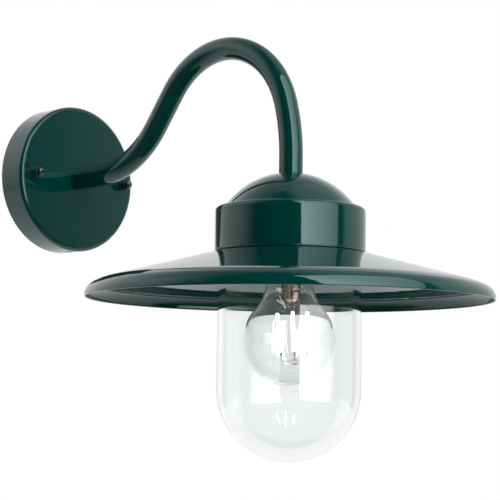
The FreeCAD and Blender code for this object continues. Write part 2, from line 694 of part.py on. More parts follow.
def make_shade_seal():
    seal = ring(seal_seat_radius - SEAT_GAP, shade_hole_radius, shade_top, seal_seat)
    holes = around(disc(M3_DIAMETER / 2 + HOLE_GAP, shade_top - CUT_SPARE, seal_seat + CUT_SPARE,
                        shade_screw_radius),
                   SHADE_SCREW_COUNT, SHADE_SCREW_ANGLE)
    return in_head(cut_all(seal, holes))


def make_shade_screws():
    reach = head_rim - shade_under + SHADE_SCREW_DEPTH - 2 * SEAT_GAP
    screw = screw_up(M3_DIAMETER, M3_HEAD_DIAMETER, M3_HEAD_HEIGHT, reach, shade_under, shade_screw_radius)
    return in_head(Part.makeCompound(around(screw, SHADE_SCREW_COUNT, SHADE_SCREW_ANGLE)))


# ---------------------------------------------------------------- jar
def make_glass_jar():
    flare = jar_radius - jar_neck_radius
    body_top = jar_shoulder - flare
    bottom_centre = (0, body_top - JAR_STRAIGHT_LENGTH)
    inner_radius = jar_radius - JAR_WALL
    lip = JAR_LIP_RADIUS
    shoulder_centre = (jar_neck_radius, body_top)
    inner_top = body_top - JAR_WALL / 2
    step = inner_radius - jar_neck_bore
    profile = [(0, bottom_centre[1] - jar_radius),
               (*on_circle(bottom_centre, jar_radius, -45), jar_radius, bottom_centre[1]),
               (jar_radius, body_top),
               (*on_circle(shoulder_centre, flare, 45), jar_neck_radius, jar_shoulder),
               (jar_neck_radius, jar_lip - lip),
               (*on_circle((jar_neck_radius - lip, jar_lip - lip), lip, 45), jar_neck_radius - lip, jar_lip),
               (jar_neck_bore + lip, jar_lip),
               (*on_circle((jar_neck_bore + lip, jar_lip - lip), lip, 135), jar_neck_bore, jar_lip - lip),
               (jar_neck_bore, inner_top + step),
               (*on_circle((jar_neck_bore, inner_top), step, 45), inner_radius, inner_top),
               (inner_radius, bottom_centre[1]),
               (*on_circle(bottom_centre, inner_radius, -45), 0, bottom_centre[1] - inner_radius)]
    thread = thread_ridge(jar_neck_radius, jar_neck_radius + JAR_THREAD_DEPTH, JAR_THREAD_PITCH,
                          JAR_THREAD_TURNS, head_rim + JAR_THREAD_FROM_RIM + JAR_THREAD_WIDTH,
                          JAR_THREAD_WIDTH)
    return in_head(lathe(profile).fuse(thread))


def make_jar_seal():
    high = ledge_under - SEAT_GAP
    return in_head(ring(jar_neck_radius, jar_neck_bore + SEAT_GAP, high - JAR_SEAL_THICKNESS, high))


# ---------------------------------------------------------------- lamp holder
def make_stirrup():
    half = STIRRUP_SPAN / 2
    wide = STIRRUP_WIDTH / 2
    foot_top = holder_top + STIRRUP_THICKNESS
    sheet = STIRRUP_THICKNESS
    strap = block((-wide, -half, stirrup_under), (wide, half, stirrup_top))
    for side in (-1, 1):
        near = side * (half - sheet)
        far = side * half
        toe = side * (half + STIRRUP_FOOT)
        leg = block((-wide, min(near, far), holder_top), (wide, max(near, far), stirrup_top))
        foot = block((-wide, min(near, toe), holder_top), (wide, max(near, toe), foot_top))
        strap = strap.fuse(leg).fuse(foot)
    cuts = [disc(stub_radius + HOLE_GAP, stirrup_under - CUT_SPARE, stirrup_top + CUT_SPARE)]
    cuts += holder_screw_holes(holder_top - CUT_SPARE, foot_top + CUT_SPARE)
    return in_head(cut_all(strap.removeSplitter(), cuts))


def holder_screw_holes(low, high):
    return around(disc(M3_DIAMETER / 2 + HOLE_GAP, low, high, HOLDER_SCREW_SPACING / 2),
                  HOLDER_SCREW_COUNT, HOLDER_SCREW_ANGLE)


def make_holder_body():
    flange_low = holder_top - HOLDER_FLANGE_THICKNESS
    body_radius = HOLDER_BODY_DIAMETER / 2
    cavity = HOLDER_CAVITY_DIAMETER / 2
    chamfer = HOLDER_CHAMFER
    profile = [(0, holder_top), (HOLDER_FLANGE_DIAMETER / 2 - chamfer, holder_top),
               (HOLDER_FLANGE_DIAMETER / 2, holder_top - chamfer),
               (HOLDER_FLANGE_DIAMETER / 2, flange_low), (body_radius, flange_low),
               (body_radius, holder_mouth + chamfer), (body_radius - chamfer, holder_mouth),
               (cavity, holder_mouth), (cavity, holder_ceiling), (0, holder_ceiling)]
    post_hole = CONTACT_POST_DIAMETER / 2 + HOLE_GAP
    cuts = holder_screw_holes(flange_low - CUT_SPARE, holder_top + CUT_SPARE)
    for x in (0, neutral_post_x()):
        cuts.append(disc(post_hole, holder_ceiling - CUT_SPARE, holder_top + CUT_SPARE, x))
    return in_head(cut_all(lathe(profile), cuts))


def neutral_post_x():
    return shell_inner - CONTACT_POST_DIAMETER / 2


def make_holder_screws():
    reach = STIRRUP_THICKNESS + HOLDER_FLANGE_THICKNESS + M3_NUT_THICKNESS
    screw = screw_down(M3_DIAMETER, M3_HEAD_DIAMETER, M3_HEAD_HEIGHT, reach,
                       holder_top + STIRRUP_THICKNESS, HOLDER_SCREW_SPACING / 2, 0)
    return in_head(Part.makeCompound(around(screw, HOLDER_SCREW_COUNT, HOLDER_SCREW_ANGLE)))


def make_holder_nuts():
    high = holder_top - HOLDER_FLANGE_THICKNESS
    nut = hexagon(M3_NUT_ACROSS_FLATS, high - M3_NUT_THICKNESS, high)
    nut = nut.cut(disc(M3_DIAMETER / 2, high - M3_NUT_THICKNESS - CUT_SPARE, high + CUT_SPARE))
    nut.translate(Vector(HOLDER_SCREW_SPACING / 2, 0, 0))
    return in_head(Part.makeCompound(around(nut, HOLDER_SCREW_COUNT, HOLDER_SCREW_ANGLE)))


def make_screw_shell():
    flange_bore = neutral_post_x() - CONTACT_POST_DIAMETER / 2 - SHELL_SHEET
    profile = [(shell_outer, holder_ceiling), (shell_outer, holder_ceiling - SHELL_LENGTH),
               (shell_inner, holder_ceiling - SHELL_LENGTH), (shell_inner, holder_ceiling - SHELL_SHEET),
               (flange_bore, holder_ceiling - SHELL_SHEET), (flange_bore, holder_ceiling)]
    thread = thread_ridge(shell_inner, shell_inner - LAMP_THREAD_DEPTH, LAMP_THREAD_PITCH,
                          HOLDER_THREAD_TURNS, holder_thread_start(), LAMP_THREAD_WIDTH)
    return in_head(lathe(profile).fuse(thread))


def holder_thread_start():
    return holder_ceiling - SHELL_LENGTH + 2 * LAMP_THREAD_WIDTH


def make_centre_contact():
    strip_low = holder_ceiling - CONTACT_STRIP_THICKNESS
    strip = block((-CONTACT_STRIP_LENGTH / 2, -CONTACT_STRIP_WIDTH / 2, strip_low),
                  (CONTACT_STRIP_LENGTH / 2, CONTACT_STRIP_WIDTH / 2, holder_ceiling))
    post = disc(CONTACT_POST_DIAMETER / 2, holder_ceiling, holder_top)
    return in_head(strip.fuse(post))


def terminal(x, post_x):
    side = 1 if x > 0 else -1
    plate_top = holder_top + STIRRUP_THICKNESS / 2
    ends = sorted((x + side * TERMINAL_LENGTH / 2, post_x - side * CONTACT_POST_DIAMETER / 2))
    wide = TERMINAL_WIDTH / 2
    near, far = sorted((x - side * TERMINAL_LENGTH / 2, x + side * TERMINAL_LENGTH / 2))
    body = block((min(ends[0], near), -wide, holder_top), (max(ends[1], far), wide, plate_top))
    body = body.fuse(block((near, -wide, plate_top), (far, wide, holder_top + TERMINAL_HEIGHT)))
    wire_hole = Part.makeCylinder(WIRE_DIAMETER / 2 + SEAT_GAP, 3 * TERMINAL_LENGTH,
                                  Vector(x - 1.5 * TERMINAL_LENGTH, 0, terminal_wire_z()), X_AXIS)
    screw_hole = disc(M3_DIAMETER / 2, terminal_wire_z(), holder_top + TERMINAL_HEIGHT + CUT_SPARE, x)
    return body.removeSplitter().cut(wire_hole).cut(screw_hole)


def terminal_wire_z():
    return holder_top + TERMINAL_WIRE_HEIGHT


def make_holder_terminals():
    post = disc(CONTACT_POST_DIAMETER / 2, holder_ceiling, holder_top, neutral_post_x())
    neutral = terminal(TERMINAL_OFFSET, neutral_post_x()).fuse(post)
    live = terminal(-TERMINAL_OFFSET, 0)
    return in_head(Part.makeCompound([live, neutral]))


def make_terminal_screws():
    low = terminal_wire_z() + WIRE_DIAMETER / 2 + SEAT_GAP
    high = holder_top + TERMINAL_HEIGHT + M3_HEAD_HEIGHT / 2
    screws = []
    for x in (-TERMINAL_OFFSET, TERMINAL_OFFSET):
        screw = disc(M3_DIAMETER / 2 - SCREW_GAP, low, high, x)
        slot = block((x - M3_DIAMETER, -DRIVER_SLOT_WIDTH / 2, high - DRIVER_SLOT_DEPTH),
                     (x + M3_DIAMETER, DRIVER_SLOT_WIDTH / 2, high + CUT_SPARE))
        screws.append(screw.cut(slot))
    return in_head(Part.makeCompound(screws))


# ---------------------------------------------------------------- lamp
def make_lamp_tip():
    radius = LAMP_TIP_DIAMETER / 2
    low = lamp_top - LAMP_TIP_HEIGHT
    return in_head(lathe([(0, low), (radius, low), crown(radius, LAMP_TIP_HEIGHT, lamp_top)]))


def make_lamp_insulator():
    high = lamp_top - LAMP_TIP_HEIGHT
    return in_head(lathe([(0, lamp_cap_top), (lamp_core_radius - LAMP_CAP_SHEET, lamp_cap_top),
                          (LAMP_TIP_DIAMETER / 2 + SEAT_GAP, high), (0, high)]))


def make_lamp_cap():
    core = lamp_core_radius
    sheet = LAMP_CAP_SHEET
    rim = LAMP_CAP_RIM_DIAMETER / 2
    rim_top = lamp_cap_rim + LAMP_CAP_RIM_LENGTH
    step = rim - core
    profile = [(core - sheet * 2, lamp_cap_top), (core, lamp_cap_top), (core, rim_top + step),
               (rim, rim_top), (rim, lamp_cap_rim), (rim - sheet, lamp_cap_rim), (rim - sheet, rim_top),
               (core - sheet, rim_top + step), (core - sheet, lamp_cap_top - sheet),
               (core - sheet * 2, lamp_cap_top - sheet)]
    thread = thread_ridge(core, core + LAMP_THREAD_DEPTH, LAMP_THREAD_PITCH, LAMP_THREAD_TURNS,
                          holder_thread_start() + LAMP_THREAD_WIDTH, LAMP_THREAD_WIDTH)
    return in_head(lathe(profile).fuse(thread))


# Centre and radius of the hollow arc that leads from the neck to the ball of the lamp.
def lamp_flare(neck, ball):
    rise = LAMP_NECK_TO_CENTRE
    radius = (rise ** 2 + neck ** 2 - ball ** 2) / (2 * (ball - neck))
    return (neck + radius, lamp_centre + rise), radius


def lamp_outline(inset):
    ball = LAMP_GLASS_RADIUS - inset
    neck = LAMP_NECK_RADIUS - inset
    mouth = LAMP_CAP_RIM_DIAMETER / 2 - LAMP_CAP_SHEET - SEAT_GAP - inset
    centre, radius = lamp_flare(neck, ball)
    lean = math.degrees(math.atan2(centre[1] - lamp_centre, centre[0]))
    touch = on_circle((0, lamp_centre), ball, lean)
    mouth_low = lamp_cap_rim - SEAT_GAP
    round_over = LAMP_NECK_RADIUS - (LAMP_CAP_RIM_DIAMETER / 2 - LAMP_CAP_SHEET - SEAT_GAP)
    return [(mouth, lamp_cap_rim + LAMP_CAP_RIM_LENGTH - SEAT_GAP), (mouth, mouth_low),
            (*on_circle((mouth, mouth_low - round_over), round_over, 45), neck, mouth_low - round_over),
            (neck, centre[1]), (*on_circle(centre, radius, 180 + lean / 2), *touch),
            (*on_circle((0, lamp_centre), ball, (lean - 90) / 2), 0, lamp_centre - ball)]


def make_lamp_glass():
    outer = lathe(lamp_outline(0) + [(0, lamp_cap_rim + LAMP_CAP_RIM_LENGTH - SEAT_GAP)])
    inner = lathe(lamp_outline(LAMP_GLASS_WALL) + [(0, lamp_cap_rim + LAMP_CAP_RIM_LENGTH - SEAT_GAP)])
    return in_head(outer.cut(inner))


# The glass foot: a flared seal in the neck, a stem, and a thin rod down the middle to a button.
def make_lamp_stem():
    mouth = LAMP_CAP_RIM_DIAMETER / 2 - LAMP_CAP_SHEET - 2 * SEAT_GAP - LAMP_GLASS_WALL
    high = lamp_cap_rim + LAMP_CAP_RIM_LENGTH / 2
    low = high - STEM_LENGTH
    flare_low = high - STEM_FLARE_LENGTH
    run = mouth - STEM_RADIUS
    rise = STEM_FLARE_LENGTH - LAMP_GLASS_WALL
    sweep = (run ** 2 + rise ** 2) / (2 * run)
    flare_centre = (STEM_RADIUS + sweep, flare_low)
    flare_start = math.degrees(math.atan2(rise, run - sweep))
    button = STEM_BUTTON_RADIUS
    foot = filament_foot() - LEAD_DROP - button
    neck = math.sqrt(button ** 2 - STEM_ROD_RADIUS ** 2)
    profile = [(0, high), (mouth, high), (mouth, high - LAMP_GLASS_WALL),
               (*on_circle(flare_centre, sweep, (flare_start + 180) / 2), STEM_RADIUS, flare_low),
               (STEM_RADIUS, low), (STEM_ROD_RADIUS, low - STEM_RADIUS),
               (STEM_ROD_RADIUS, foot + neck), (button, foot, 0, foot - button)]
    return in_head(lathe(profile))


def filament_top():
    return lamp_centre + FILAMENT_LIFT + FILAMENT_LENGTH / 2


def filament_foot():
    return lamp_centre + FILAMENT_LIFT - FILAMENT_LENGTH / 2


def rod_between(start, end, radius):
    return Part.makeCylinder(radius, (end - start).Length, start, end - start)


def make_filaments():
    stick = rod_between(Vector(FILAMENT_FOOT_RADIUS, 0, filament_foot()),
                        Vector(FILAMENT_TOP_RADIUS, 0, filament_top()), FILAMENT_DIAMETER / 2)
    return in_head(Part.makeCompound(around(stick, FILAMENT_COUNT, FILAMENT_TURN)))


# Thin wires from the stem to the top of each stick, and from its foot back to the glass rod.
def make_lamp_leads():
    stand_off = LEAD_DIAMETER
    stem_low = lamp_cap_rim + LAMP_CAP_RIM_LENGTH / 2 - STEM_LENGTH - STEM_RADIUS
    root = STEM_ROD_RADIUS + LEAD_DIAMETER
    top = rod_between(Vector(root, 0, stem_low), Vector(FILAMENT_TOP_RADIUS, 0, filament_top() + stand_off),
                      LEAD_DIAMETER / 2)
    foot = rod_between(Vector(root, 0, filament_foot() - LEAD_DROP),
                       Vector(FILAMENT_FOOT_RADIUS, 0, filament_foot() - stand_off), LEAD_DIAMETER / 2)
    leads = around(top, FILAMENT_COUNT, FILAMENT_TURN) + around(foot, FILAMENT_COUNT, FILAMENT_TURN)
    return in_head(Part.makeCompound(leads))


# ---------------------------------------------------------------- wiring
def make_terminal_block():
    low = bracket_front
    high = bracket_front + BLOCK_DEPTH
    middle = -block_middle()
    body = block((-BLOCK_WIDTH / 2, middle - BLOCK_HEIGHT / 2, low),
                 (BLOCK_WIDTH / 2, middle + BLOCK_HEIGHT / 2, high))
    recess = high - M3_HEAD_HEIGHT - HOLE_GAP
    cuts = [disc(M3_DIAMETER / 2 + HOLE_GAP, low - CUT_SPARE, high + CUT_SPARE, 0, middle),
            disc(M3_HEAD_DIAMETER / 2 + HOLE_GAP, recess, high + CUT_SPARE, 0, middle)]
    for x, y in clamp_screw_places():
        cuts.append(disc(CLAMP_SCREW_DIAMETER / 2 + HOLE_GAP, clamp_axis_out(), high + CUT_SPARE, x, y))
    for x in pole_places():
        cuts.append(Part.makeCylinder(CLAMP_DIAMETER / 2 + SCREW_GAP, BLOCK_HEIGHT + 2 * CUT_SPARE,
                                      Vector(x, middle - BLOCK_HEIGHT / 2 - CUT_SPARE, clamp_axis_out()),
                                      Y_AXIS))
    return out_from_wall(cut_all(body, cuts))


def pole_places():
    return (-POLE_SPACING / 2, POLE_SPACING / 2)


def clamp_axis_out():
    return bracket_front + BLOCK_DEPTH / 2


def clamp_screw_places():
    return [(x, -block_middle() + side * CLAMP_SCREW_SPACING / 2) for x in pole_places() for side in (-1, 1)]


def make_block_clamps():
    clamps = []
    for x in pole_places():
        start = Vector(x, -block_middle() - CLAMP_LENGTH / 2, clamp_axis_out())
        clamp = Part.makeCylinder(CLAMP_DIAMETER / 2, CLAMP_LENGTH, start, Y_AXIS)
        cuts = [Part.makeCylinder(CLAMP_BORE / 2, CLAMP_LENGTH + 2 * CUT_SPARE,
                                  start - Y_AXIS * CUT_SPARE, Y_AXIS)]
        for screw_x, y in clamp_screw_places():
            if screw_x == x:
                cuts.append(disc(CLAMP_SCREW_DIAMETER / 2, clamp_axis_out(), bracket_front + BLOCK_DEPTH,
                                 x, y))
        clamps.append(cut_all(clamp, cuts))
    return out_from_wall(Part.makeCompound(clamps))


def make_block_screws():
    high = bracket_front + BLOCK_DEPTH - DRIVER_SLOT_DEPTH
    low = clamp_axis_out() + WIRE_DIAMETER / 2 + SEAT_GAP
    screws = []
    for x, y in clamp_screw_places():
        slot = block((x - CLAMP_SCREW_DIAMETER, y - DRIVER_SLOT_WIDTH / 2, high - DRIVER_SLOT_DEPTH),
                     (x + CLAMP_SCREW_DIAMETER, y + DRIVER_SLOT_WIDTH / 2, high + CUT_SPARE))
        screws.append(disc(CLAMP_SCREW_DIAMETER / 2 - SCREW_GAP, low, high, x, y).cut(slot))
    return out_from_wall(Part.makeCompound(screws))


def screw_down(diameter, head_diameter, head_height, reach, seat, x, y):
    screw = screw_up(diameter, head_diameter, head_height, reach, 0)
    screw.rotate(ORIGIN, X_AXIS, 180)
    screw.translate(Vector(x, y, seat))
    return screw


def make_block_fixing_screw():
    seat = bracket_front + BLOCK_DEPTH - M3_HEAD_HEIGHT - HOLE_GAP
    return out_from_wall(screw_down(M3_DIAMETER, M3_HEAD_DIAMETER, M3_HEAD_HEIGHT, seat - SEAT_GAP, seat,
                                    0, -block_middle()))


# A crimped ring tag: the ring lies on Z = 0, the barrel points along +X.
def ring_tag():
    ring_radius = TAG_DIAMETER / 2
    barrel = TAG_BARREL_DIAMETER / 2
    start = ring_radius + HOLE_GAP
    tag = disc(ring_radius, 0, TAG_THICKNESS)
    tag = tag.fuse(block((0, -barrel, 0), (start + barrel, barrel, TAG_THICKNESS)))
    tag = tag.fuse(Part.makeCylinder(barrel, TAG_BARREL_LENGTH, Vector(start, 0, barrel), X_AXIS))
    bore = Part.makeCylinder(WIRE_DIAMETER / 2 + SCREW_GAP, TAG_BARREL_LENGTH + CUT_SPARE,
                             Vector(start + TAG_THICKNESS, 0, barrel), X_AXIS)
    return tag.cut(disc(M4_DIAMETER / 2 + HOLE_GAP, -CUT_SPARE, TAG_THICKNESS + CUT_SPARE)).cut(bore)


def wall_earth_direction():
    return (Vector(0, WIRE_BUNDLE_RADIUS, 0) - Vector(WALL_EARTH_X, WALL_EARTH_Z, 0)).normalize()


def head_earth_direction():
    return (Vector(0, -WIRE_BUNDLE_RADIUS, 0) - Vector(*head_earth(), 0)).normalize()


def heading(direction):
    return math.degrees(math.atan2(direction.y, direction.x))


def make_wall_earth_tag():
    tag = ring_tag()
    tag.rotate(ORIGIN, Z_AXIS, heading(wall_earth_direction()))
    tag.translate(Vector(WALL_EARTH_X, WALL_EARTH_Z, bracket_front + EARTH_BOSS_HEIGHT))
    return out_from_wall(tag)


def make_head_earth_tag():
    tag = ring_tag()
    tag.rotate(ORIGIN, X_AXIS, 180)
    tag.rotate(ORIGIN, Z_AXIS, heading(head_earth_direction()))
    tag.translate(Vector(*head_earth(), -HEAD_EARTH_DEPTH))
    return in_head(tag)


def make_wall_earth_screw():
    seat = bracket_front + EARTH_BOSS_HEIGHT + TAG_THICKNESS
    return out_from_wall(screw_down(M4_DIAMETER, M4_HEAD_DIAMETER, M4_HEAD_HEIGHT,
                                    TAG_THICKNESS + EARTH_SCREW_REACH, seat, WALL_EARTH_X, WALL_EARTH_Z))


def make_head_earth_screw():
    return in_head(screw_up(M4_DIAMETER, M4_HEAD_DIAMETER, M4_HEAD_HEIGHT,
                            TAG_THICKNESS + EARTH_SCREW_REACH, -HEAD_EARTH_DEPTH - TAG_THICKNESS,
                            *head_earth()))


# A wire from the rose through the whole gooseneck to the lamp holder.
def inner_wire(wall_points, side, over, head_points):
    start = Vector(side, -ROSE_DEPTH, over)
    end = Vector(side, head_y - over, head_z)
    edges = rounded_route(wall_points + [start], [WIRE_BEND_RADIUS] * (len(wall_points) - 1))
    edges += arm_line(side, over)
    edges += rounded_route([end] + head_points, [WIRE_BEND_RADIUS] * (len(head_points) - 1))
    first = wall_points[0]
    wire = sweep_round(edges, WIRE_DIAMETER / 2, first, wall_points[1] - first)
    length = sum(edge.Length for edge in edges)
    section = math.pi * WIRE_DIAMETER ** 2 / 4
    print("  wire length", round(length, 1), "volume over section times length",
          round(wire.Volume / (section * length), 5))
    return wire


def make_mains_wire(pole):
    side = pole * WIRE_BUNDLE_RADIUS * math.cos(math.radians(30))
    over = -WIRE_BUNDLE_RADIUS * math.sin(math.radians(30))
    out = -clamp_axis_out()
    pole_x = pole * POLE_SPACING / 2
    entry = BLOCK_HEIGHT / 4
    wall_points = [Vector(pole_x, out, -BLOCK_BELOW_AXIS - entry),
                   Vector(pole_x, out, -BLOCK_BELOW_AXIS + entry),
                   Vector(side, out, over)]
    height = head_z + terminal_wire_z()
    head_points = [Vector(side, head_y - over, height),
                   Vector(pole * (abs(side) + WIRE_SPREAD), head_y, height),
                   Vector(pole * (TERMINAL_OFFSET + WIRE_END_SPARE), head_y, height)]
    return inner_wire(wall_points, side, over, head_points)


def make_earth_wire():
    inside = TAG_DIAMETER / 2 + 2 * TAG_THICKNESS
    out = bracket_front + EARTH_BOSS_HEIGHT + TAG_BARREL_DIAMETER / 2
    direction = wall_earth_direction()
    wall_points = [Vector(WALL_EARTH_X + inside * direction.x, -out, WALL_EARTH_Z + inside * direction.y),
                   Vector(0, -out, WIRE_BUNDLE_RADIUS)]
    direction = head_earth_direction()
    height = head_z - HEAD_EARTH_DEPTH - TAG_BARREL_DIAMETER / 2
    earth_x, earth_y = head_earth()
    head_points = [Vector(0, head_y - WIRE_BUNDLE_RADIUS, height),
                   Vector(earth_x + inside * direction.x, head_y + earth_y + inside * direction.y, height)]
    return inner_wire(wall_points, 0, WIRE_BUNDLE_RADIUS, head_points)


# ---------------------------------------------------------------- all pieces
def all_pieces():
    return {
        "wall_bracket": make_wall_bracket(),
        "rose_studs": make_bracket_studs(),
        "cable_bushing": make_cable_bushing(),
        "rose_cup": make_rose_cup(),
        "rose_seal": make_rose_seal(),
        "nut_washer_left": make_nut_washer(-1),
        "nut_washer_right": make_nut_washer(1),
        "cap_nut_left": make_cap_nut(-1),
        "cap_nut_right": make_cap_nut(1),
        "gooseneck_tube": make_arm_tube(),
        "wall_end_fitting": make_wall_fitting(),
        "wall_lock_washer": make_wall_lock_washer(),
        "wall_lock_nut": make_wall_lock_nut(),
        "head_end_fitting": make_head_fitting(),
        "head_lock_washer": make_head_lock_washer(),
        "head_lock_nut": make_head_lock_nut(),
        "lamp_head": make_lamp_head(),
        "shade": make_shade(),
        "shade_seal": make_shade_seal(),
        "shade_screws": make_shade_screws(),
        "glass_jar": make_glass_jar(),
        "jar_seal": make_jar_seal(),
        "holder_stirrup": make_stirrup(),
        "holder_body": make_holder_body(),
        "holder_screws": make_holder_screws(),
        "holder_nuts": make_holder_nuts(),
        "holder_screw_shell": make_screw_shell(),
        "holder_centre_contact": make_centre_contact(),
        "holder_terminals": make_holder_terminals(),
        "holder_terminal_screws": make_terminal_screws(),
        "lamp_contact_tip": make_lamp_tip(),
        "lamp_insulator": make_lamp_insulator(),
        "lamp_screw_cap": make_lamp_cap(),
        "lamp_glass": make_lamp_glass(),
        "lamp_stem": make_lamp_stem(),
        "lamp_filaments": make_filaments(),
        "lamp_lead_wires": make_lamp_leads(),
        "terminal_block": make_terminal_block(),
        "terminal_block_clamps": make_block_clamps(),
        "terminal_block_screws": make_block_screws(),
        "terminal_block_fixing_screw": make_block_fixing_screw(),
        "wall_earth_tag": make_wall_earth_tag(),
        "wall_earth_screw": make_wall_earth_screw(),
        "head_earth_tag": make_head_earth_tag(),
        "head_earth_screw": make_head_earth_screw(),
        "live_wire": make_mains_wire(-1),
        "neutral_wire": make_mains_wire(1),
        "earth_wire": make_earth_wire(),
    }


os.makedirs("parts", exist_ok=True)
for name, shape in all_pieces().items():
    shape.exportStep("parts/" + name + ".step")
    print(name, "solids", len(shape.Solids), "valid", shape.isValid(), "volume", round(shape.Volume, 1))
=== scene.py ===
import math

import bpy
from mathutils import Matrix, Vector


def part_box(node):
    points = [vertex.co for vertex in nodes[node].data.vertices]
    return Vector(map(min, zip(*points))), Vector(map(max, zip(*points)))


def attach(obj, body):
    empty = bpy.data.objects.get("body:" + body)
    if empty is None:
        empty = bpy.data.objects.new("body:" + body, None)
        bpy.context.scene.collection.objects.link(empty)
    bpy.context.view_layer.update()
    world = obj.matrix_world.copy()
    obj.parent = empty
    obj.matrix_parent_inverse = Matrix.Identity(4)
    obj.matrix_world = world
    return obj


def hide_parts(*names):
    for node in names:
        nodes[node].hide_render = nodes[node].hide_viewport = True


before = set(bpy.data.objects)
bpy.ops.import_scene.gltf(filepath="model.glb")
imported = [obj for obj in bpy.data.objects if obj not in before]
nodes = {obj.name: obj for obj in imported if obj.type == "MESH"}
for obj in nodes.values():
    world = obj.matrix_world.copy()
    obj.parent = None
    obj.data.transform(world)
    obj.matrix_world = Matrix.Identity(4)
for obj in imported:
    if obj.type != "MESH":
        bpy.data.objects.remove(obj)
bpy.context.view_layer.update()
bpy.ops.object.select_all(action="DESELECT")  # the loaded nodes come in selected
print("frame loaded,", len(nodes), "nodes")

mm = 0.001
headLow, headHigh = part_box("lamp_head")
axisPoint = Vector((0, (headLow.y + headHigh.y) / 2, 0))  # the upright axis of head, jar and lamp

# ---- camera: a short telephoto a little below the shade, looking up and to the right
cameraSetup = {
    "place": (-0.78009, -0.94414, -0.17181),
    "azimuth": -46.48,  # 0 looks along +Y
    "rise": 5.68,
    "roll": 0.72,
    "lens": 114.85,
    "sensor": 36.0,
}


def makeCamera(setup):
    bpy.ops.object.camera_add(location=setup["place"])
    camera = bpy.context.object
    camera.name = "photo_camera"
    turn, rise, roll = (math.radians(setup[key]) for key in ("azimuth", "rise", "roll"))
    forward = Vector((-math.sin(turn) * math.cos(rise), math.cos(turn) * math.cos(rise), math.sin(rise)))
    right = Vector((math.cos(turn), math.sin(turn), 0))
    up = right.cross(forward)
    rolledRight = math.cos(roll) * right + math.sin(roll) * up
    rolledUp = math.cos(roll) * up - math.sin(roll) * right
    camera.matrix_world = Matrix.Translation(setup["place"]) @ Matrix(
        (rolledRight, rolledUp, -forward)).transposed().to_4x4()
    camera.data.lens = setup["lens"]
    camera.data.sensor_width = setup["sensor"]
    camera.data.clip_start = 0.01
    bpy.context.scene.camera = camera


makeCamera(cameraSetup)
bpy.context.scene.view_settings.view_transform = "Standard"
print("camera set")


# ---- colours and shader nodes
def srgb(text):
    parts = [int(text[i:i + 2], 16) / 255 for i in (1, 3, 5)]
    return tuple(p / 12.92 if p <= 0.04045 else ((p + 0.055) / 1.055) ** 2.4 for p in parts) + (1.0,)


def perMm(size):  # texture scale for features of that many millimetres
    return 1000 / size


def addNode(tree, kind, settings=(), links=()):
    node = tree.nodes.new(kind)
    for key, value in dict(settings).items():
        if isinstance(key, str) and hasattr(node, key):
            setattr(node, key, value)
        else:
            node.inputs[key].default_value = value
    for key, source in dict(links).items():
        tree.links.new(source, node.inputs[key])
    return node


def newFinish(name, shader):  # a material with its shader, its tree and Object coordinates
    material = bpy.data.materials.new(name)
    material.use_nodes = True
    tree = material.node_tree
    tree.nodes.clear()
    surface = addNode(tree, "ShaderNodeBsdfPrincipled", shader)
    addNode(tree, "ShaderNodeOutputMaterial", (), {"Surface": surface.outputs[0]})
    return material, tree, surface, addNode(tree, "ShaderNodeTexCoord").outputs["Object"]


def grain(tree, place, size, detail=2.0):  # soft noise with features of that many millimetres
    return addNode(tree, "ShaderNodeTexNoise", {"Scale": perMm(size), "Detail": detail},
                   {"Vector": place}).outputs["Fac"]


def bands(tree, place, axis, size):  # soft bands across an axis, repeated after that many millimetres
    scale = math.tau / 20 / (size * mm)  # the texture has 20 radians to a unit
    return addNode(tree, "ShaderNodeTexWave", {"bands_direction": axis, "Scale": scale},
                   {"Vector": place}).outputs["Fac"]


def blendColours(tree, factor, first, second):
    return addNode(tree, "ShaderNodeMix", {"data_type": "RGBA", 6: srgb(first), 7: srgb(second)},
                   {0: factor}).outputs[2]


def spread(tree, value, low, high, fromLow=0.3, fromHigh=0.7):
    return addNode(tree, "ShaderNodeMapRange",
                   {"From Min": fromLow, "From Max": fromHigh, "To Min": low, "To Max": high},
                   {"Value": value}).outputs["Result"]


def relief(tree, surface, height, depth):  # depth in millimetres
    bump = addNode(tree, "ShaderNodeBump", {"Strength": 1.0, "Distance": depth * mm}, {"Height": height})
    tree.links.new(bump.outputs["Normal"], surface.inputs["Normal"])


# Polyester powder coat, sprayed and baked: a deep wet gloss with a faint orange peel that frays reflections.
enamelLook = {
    "colour": "#00312b", "deeper": "#002b26", "roughness": (0.04, 0.065), "ior": 1.5,
    "sheenTint": "#e2fffd", "peel": 2.6, "peelDepth": 0.006, "cloud": 45.0,
}


def makeEnamel(look):
    material, tree, surface, place = newFinish("gloss_green_powder_coat", {
        "IOR": look["ior"], "Specular Tint": srgb(look["sheenTint"])})
    cloud = grain(tree, place, look["cloud"])
    peel = grain(tree, place, look["peel"], 1.0)
    tree.links.new(blendColours(tree, cloud, look["deeper"], look["colour"]), surface.inputs["Base Color"])
    tree.links.new(spread(tree, cloud, *look["roughness"]), surface.inputs["Roughness"])
    relief(tree, surface, peel, look["peelDepth"])
    return material, tree, surface, place


enamel = makeEnamel(enamelLook)[0]

# The cap nuts: the same coat on the barrel, with the domed end left as dark nickel plate.
nutLook = {"domeStart": -0.0302, "edge": 0.0002, "plate": "#4a5853", "plateRoughness": 0.16}


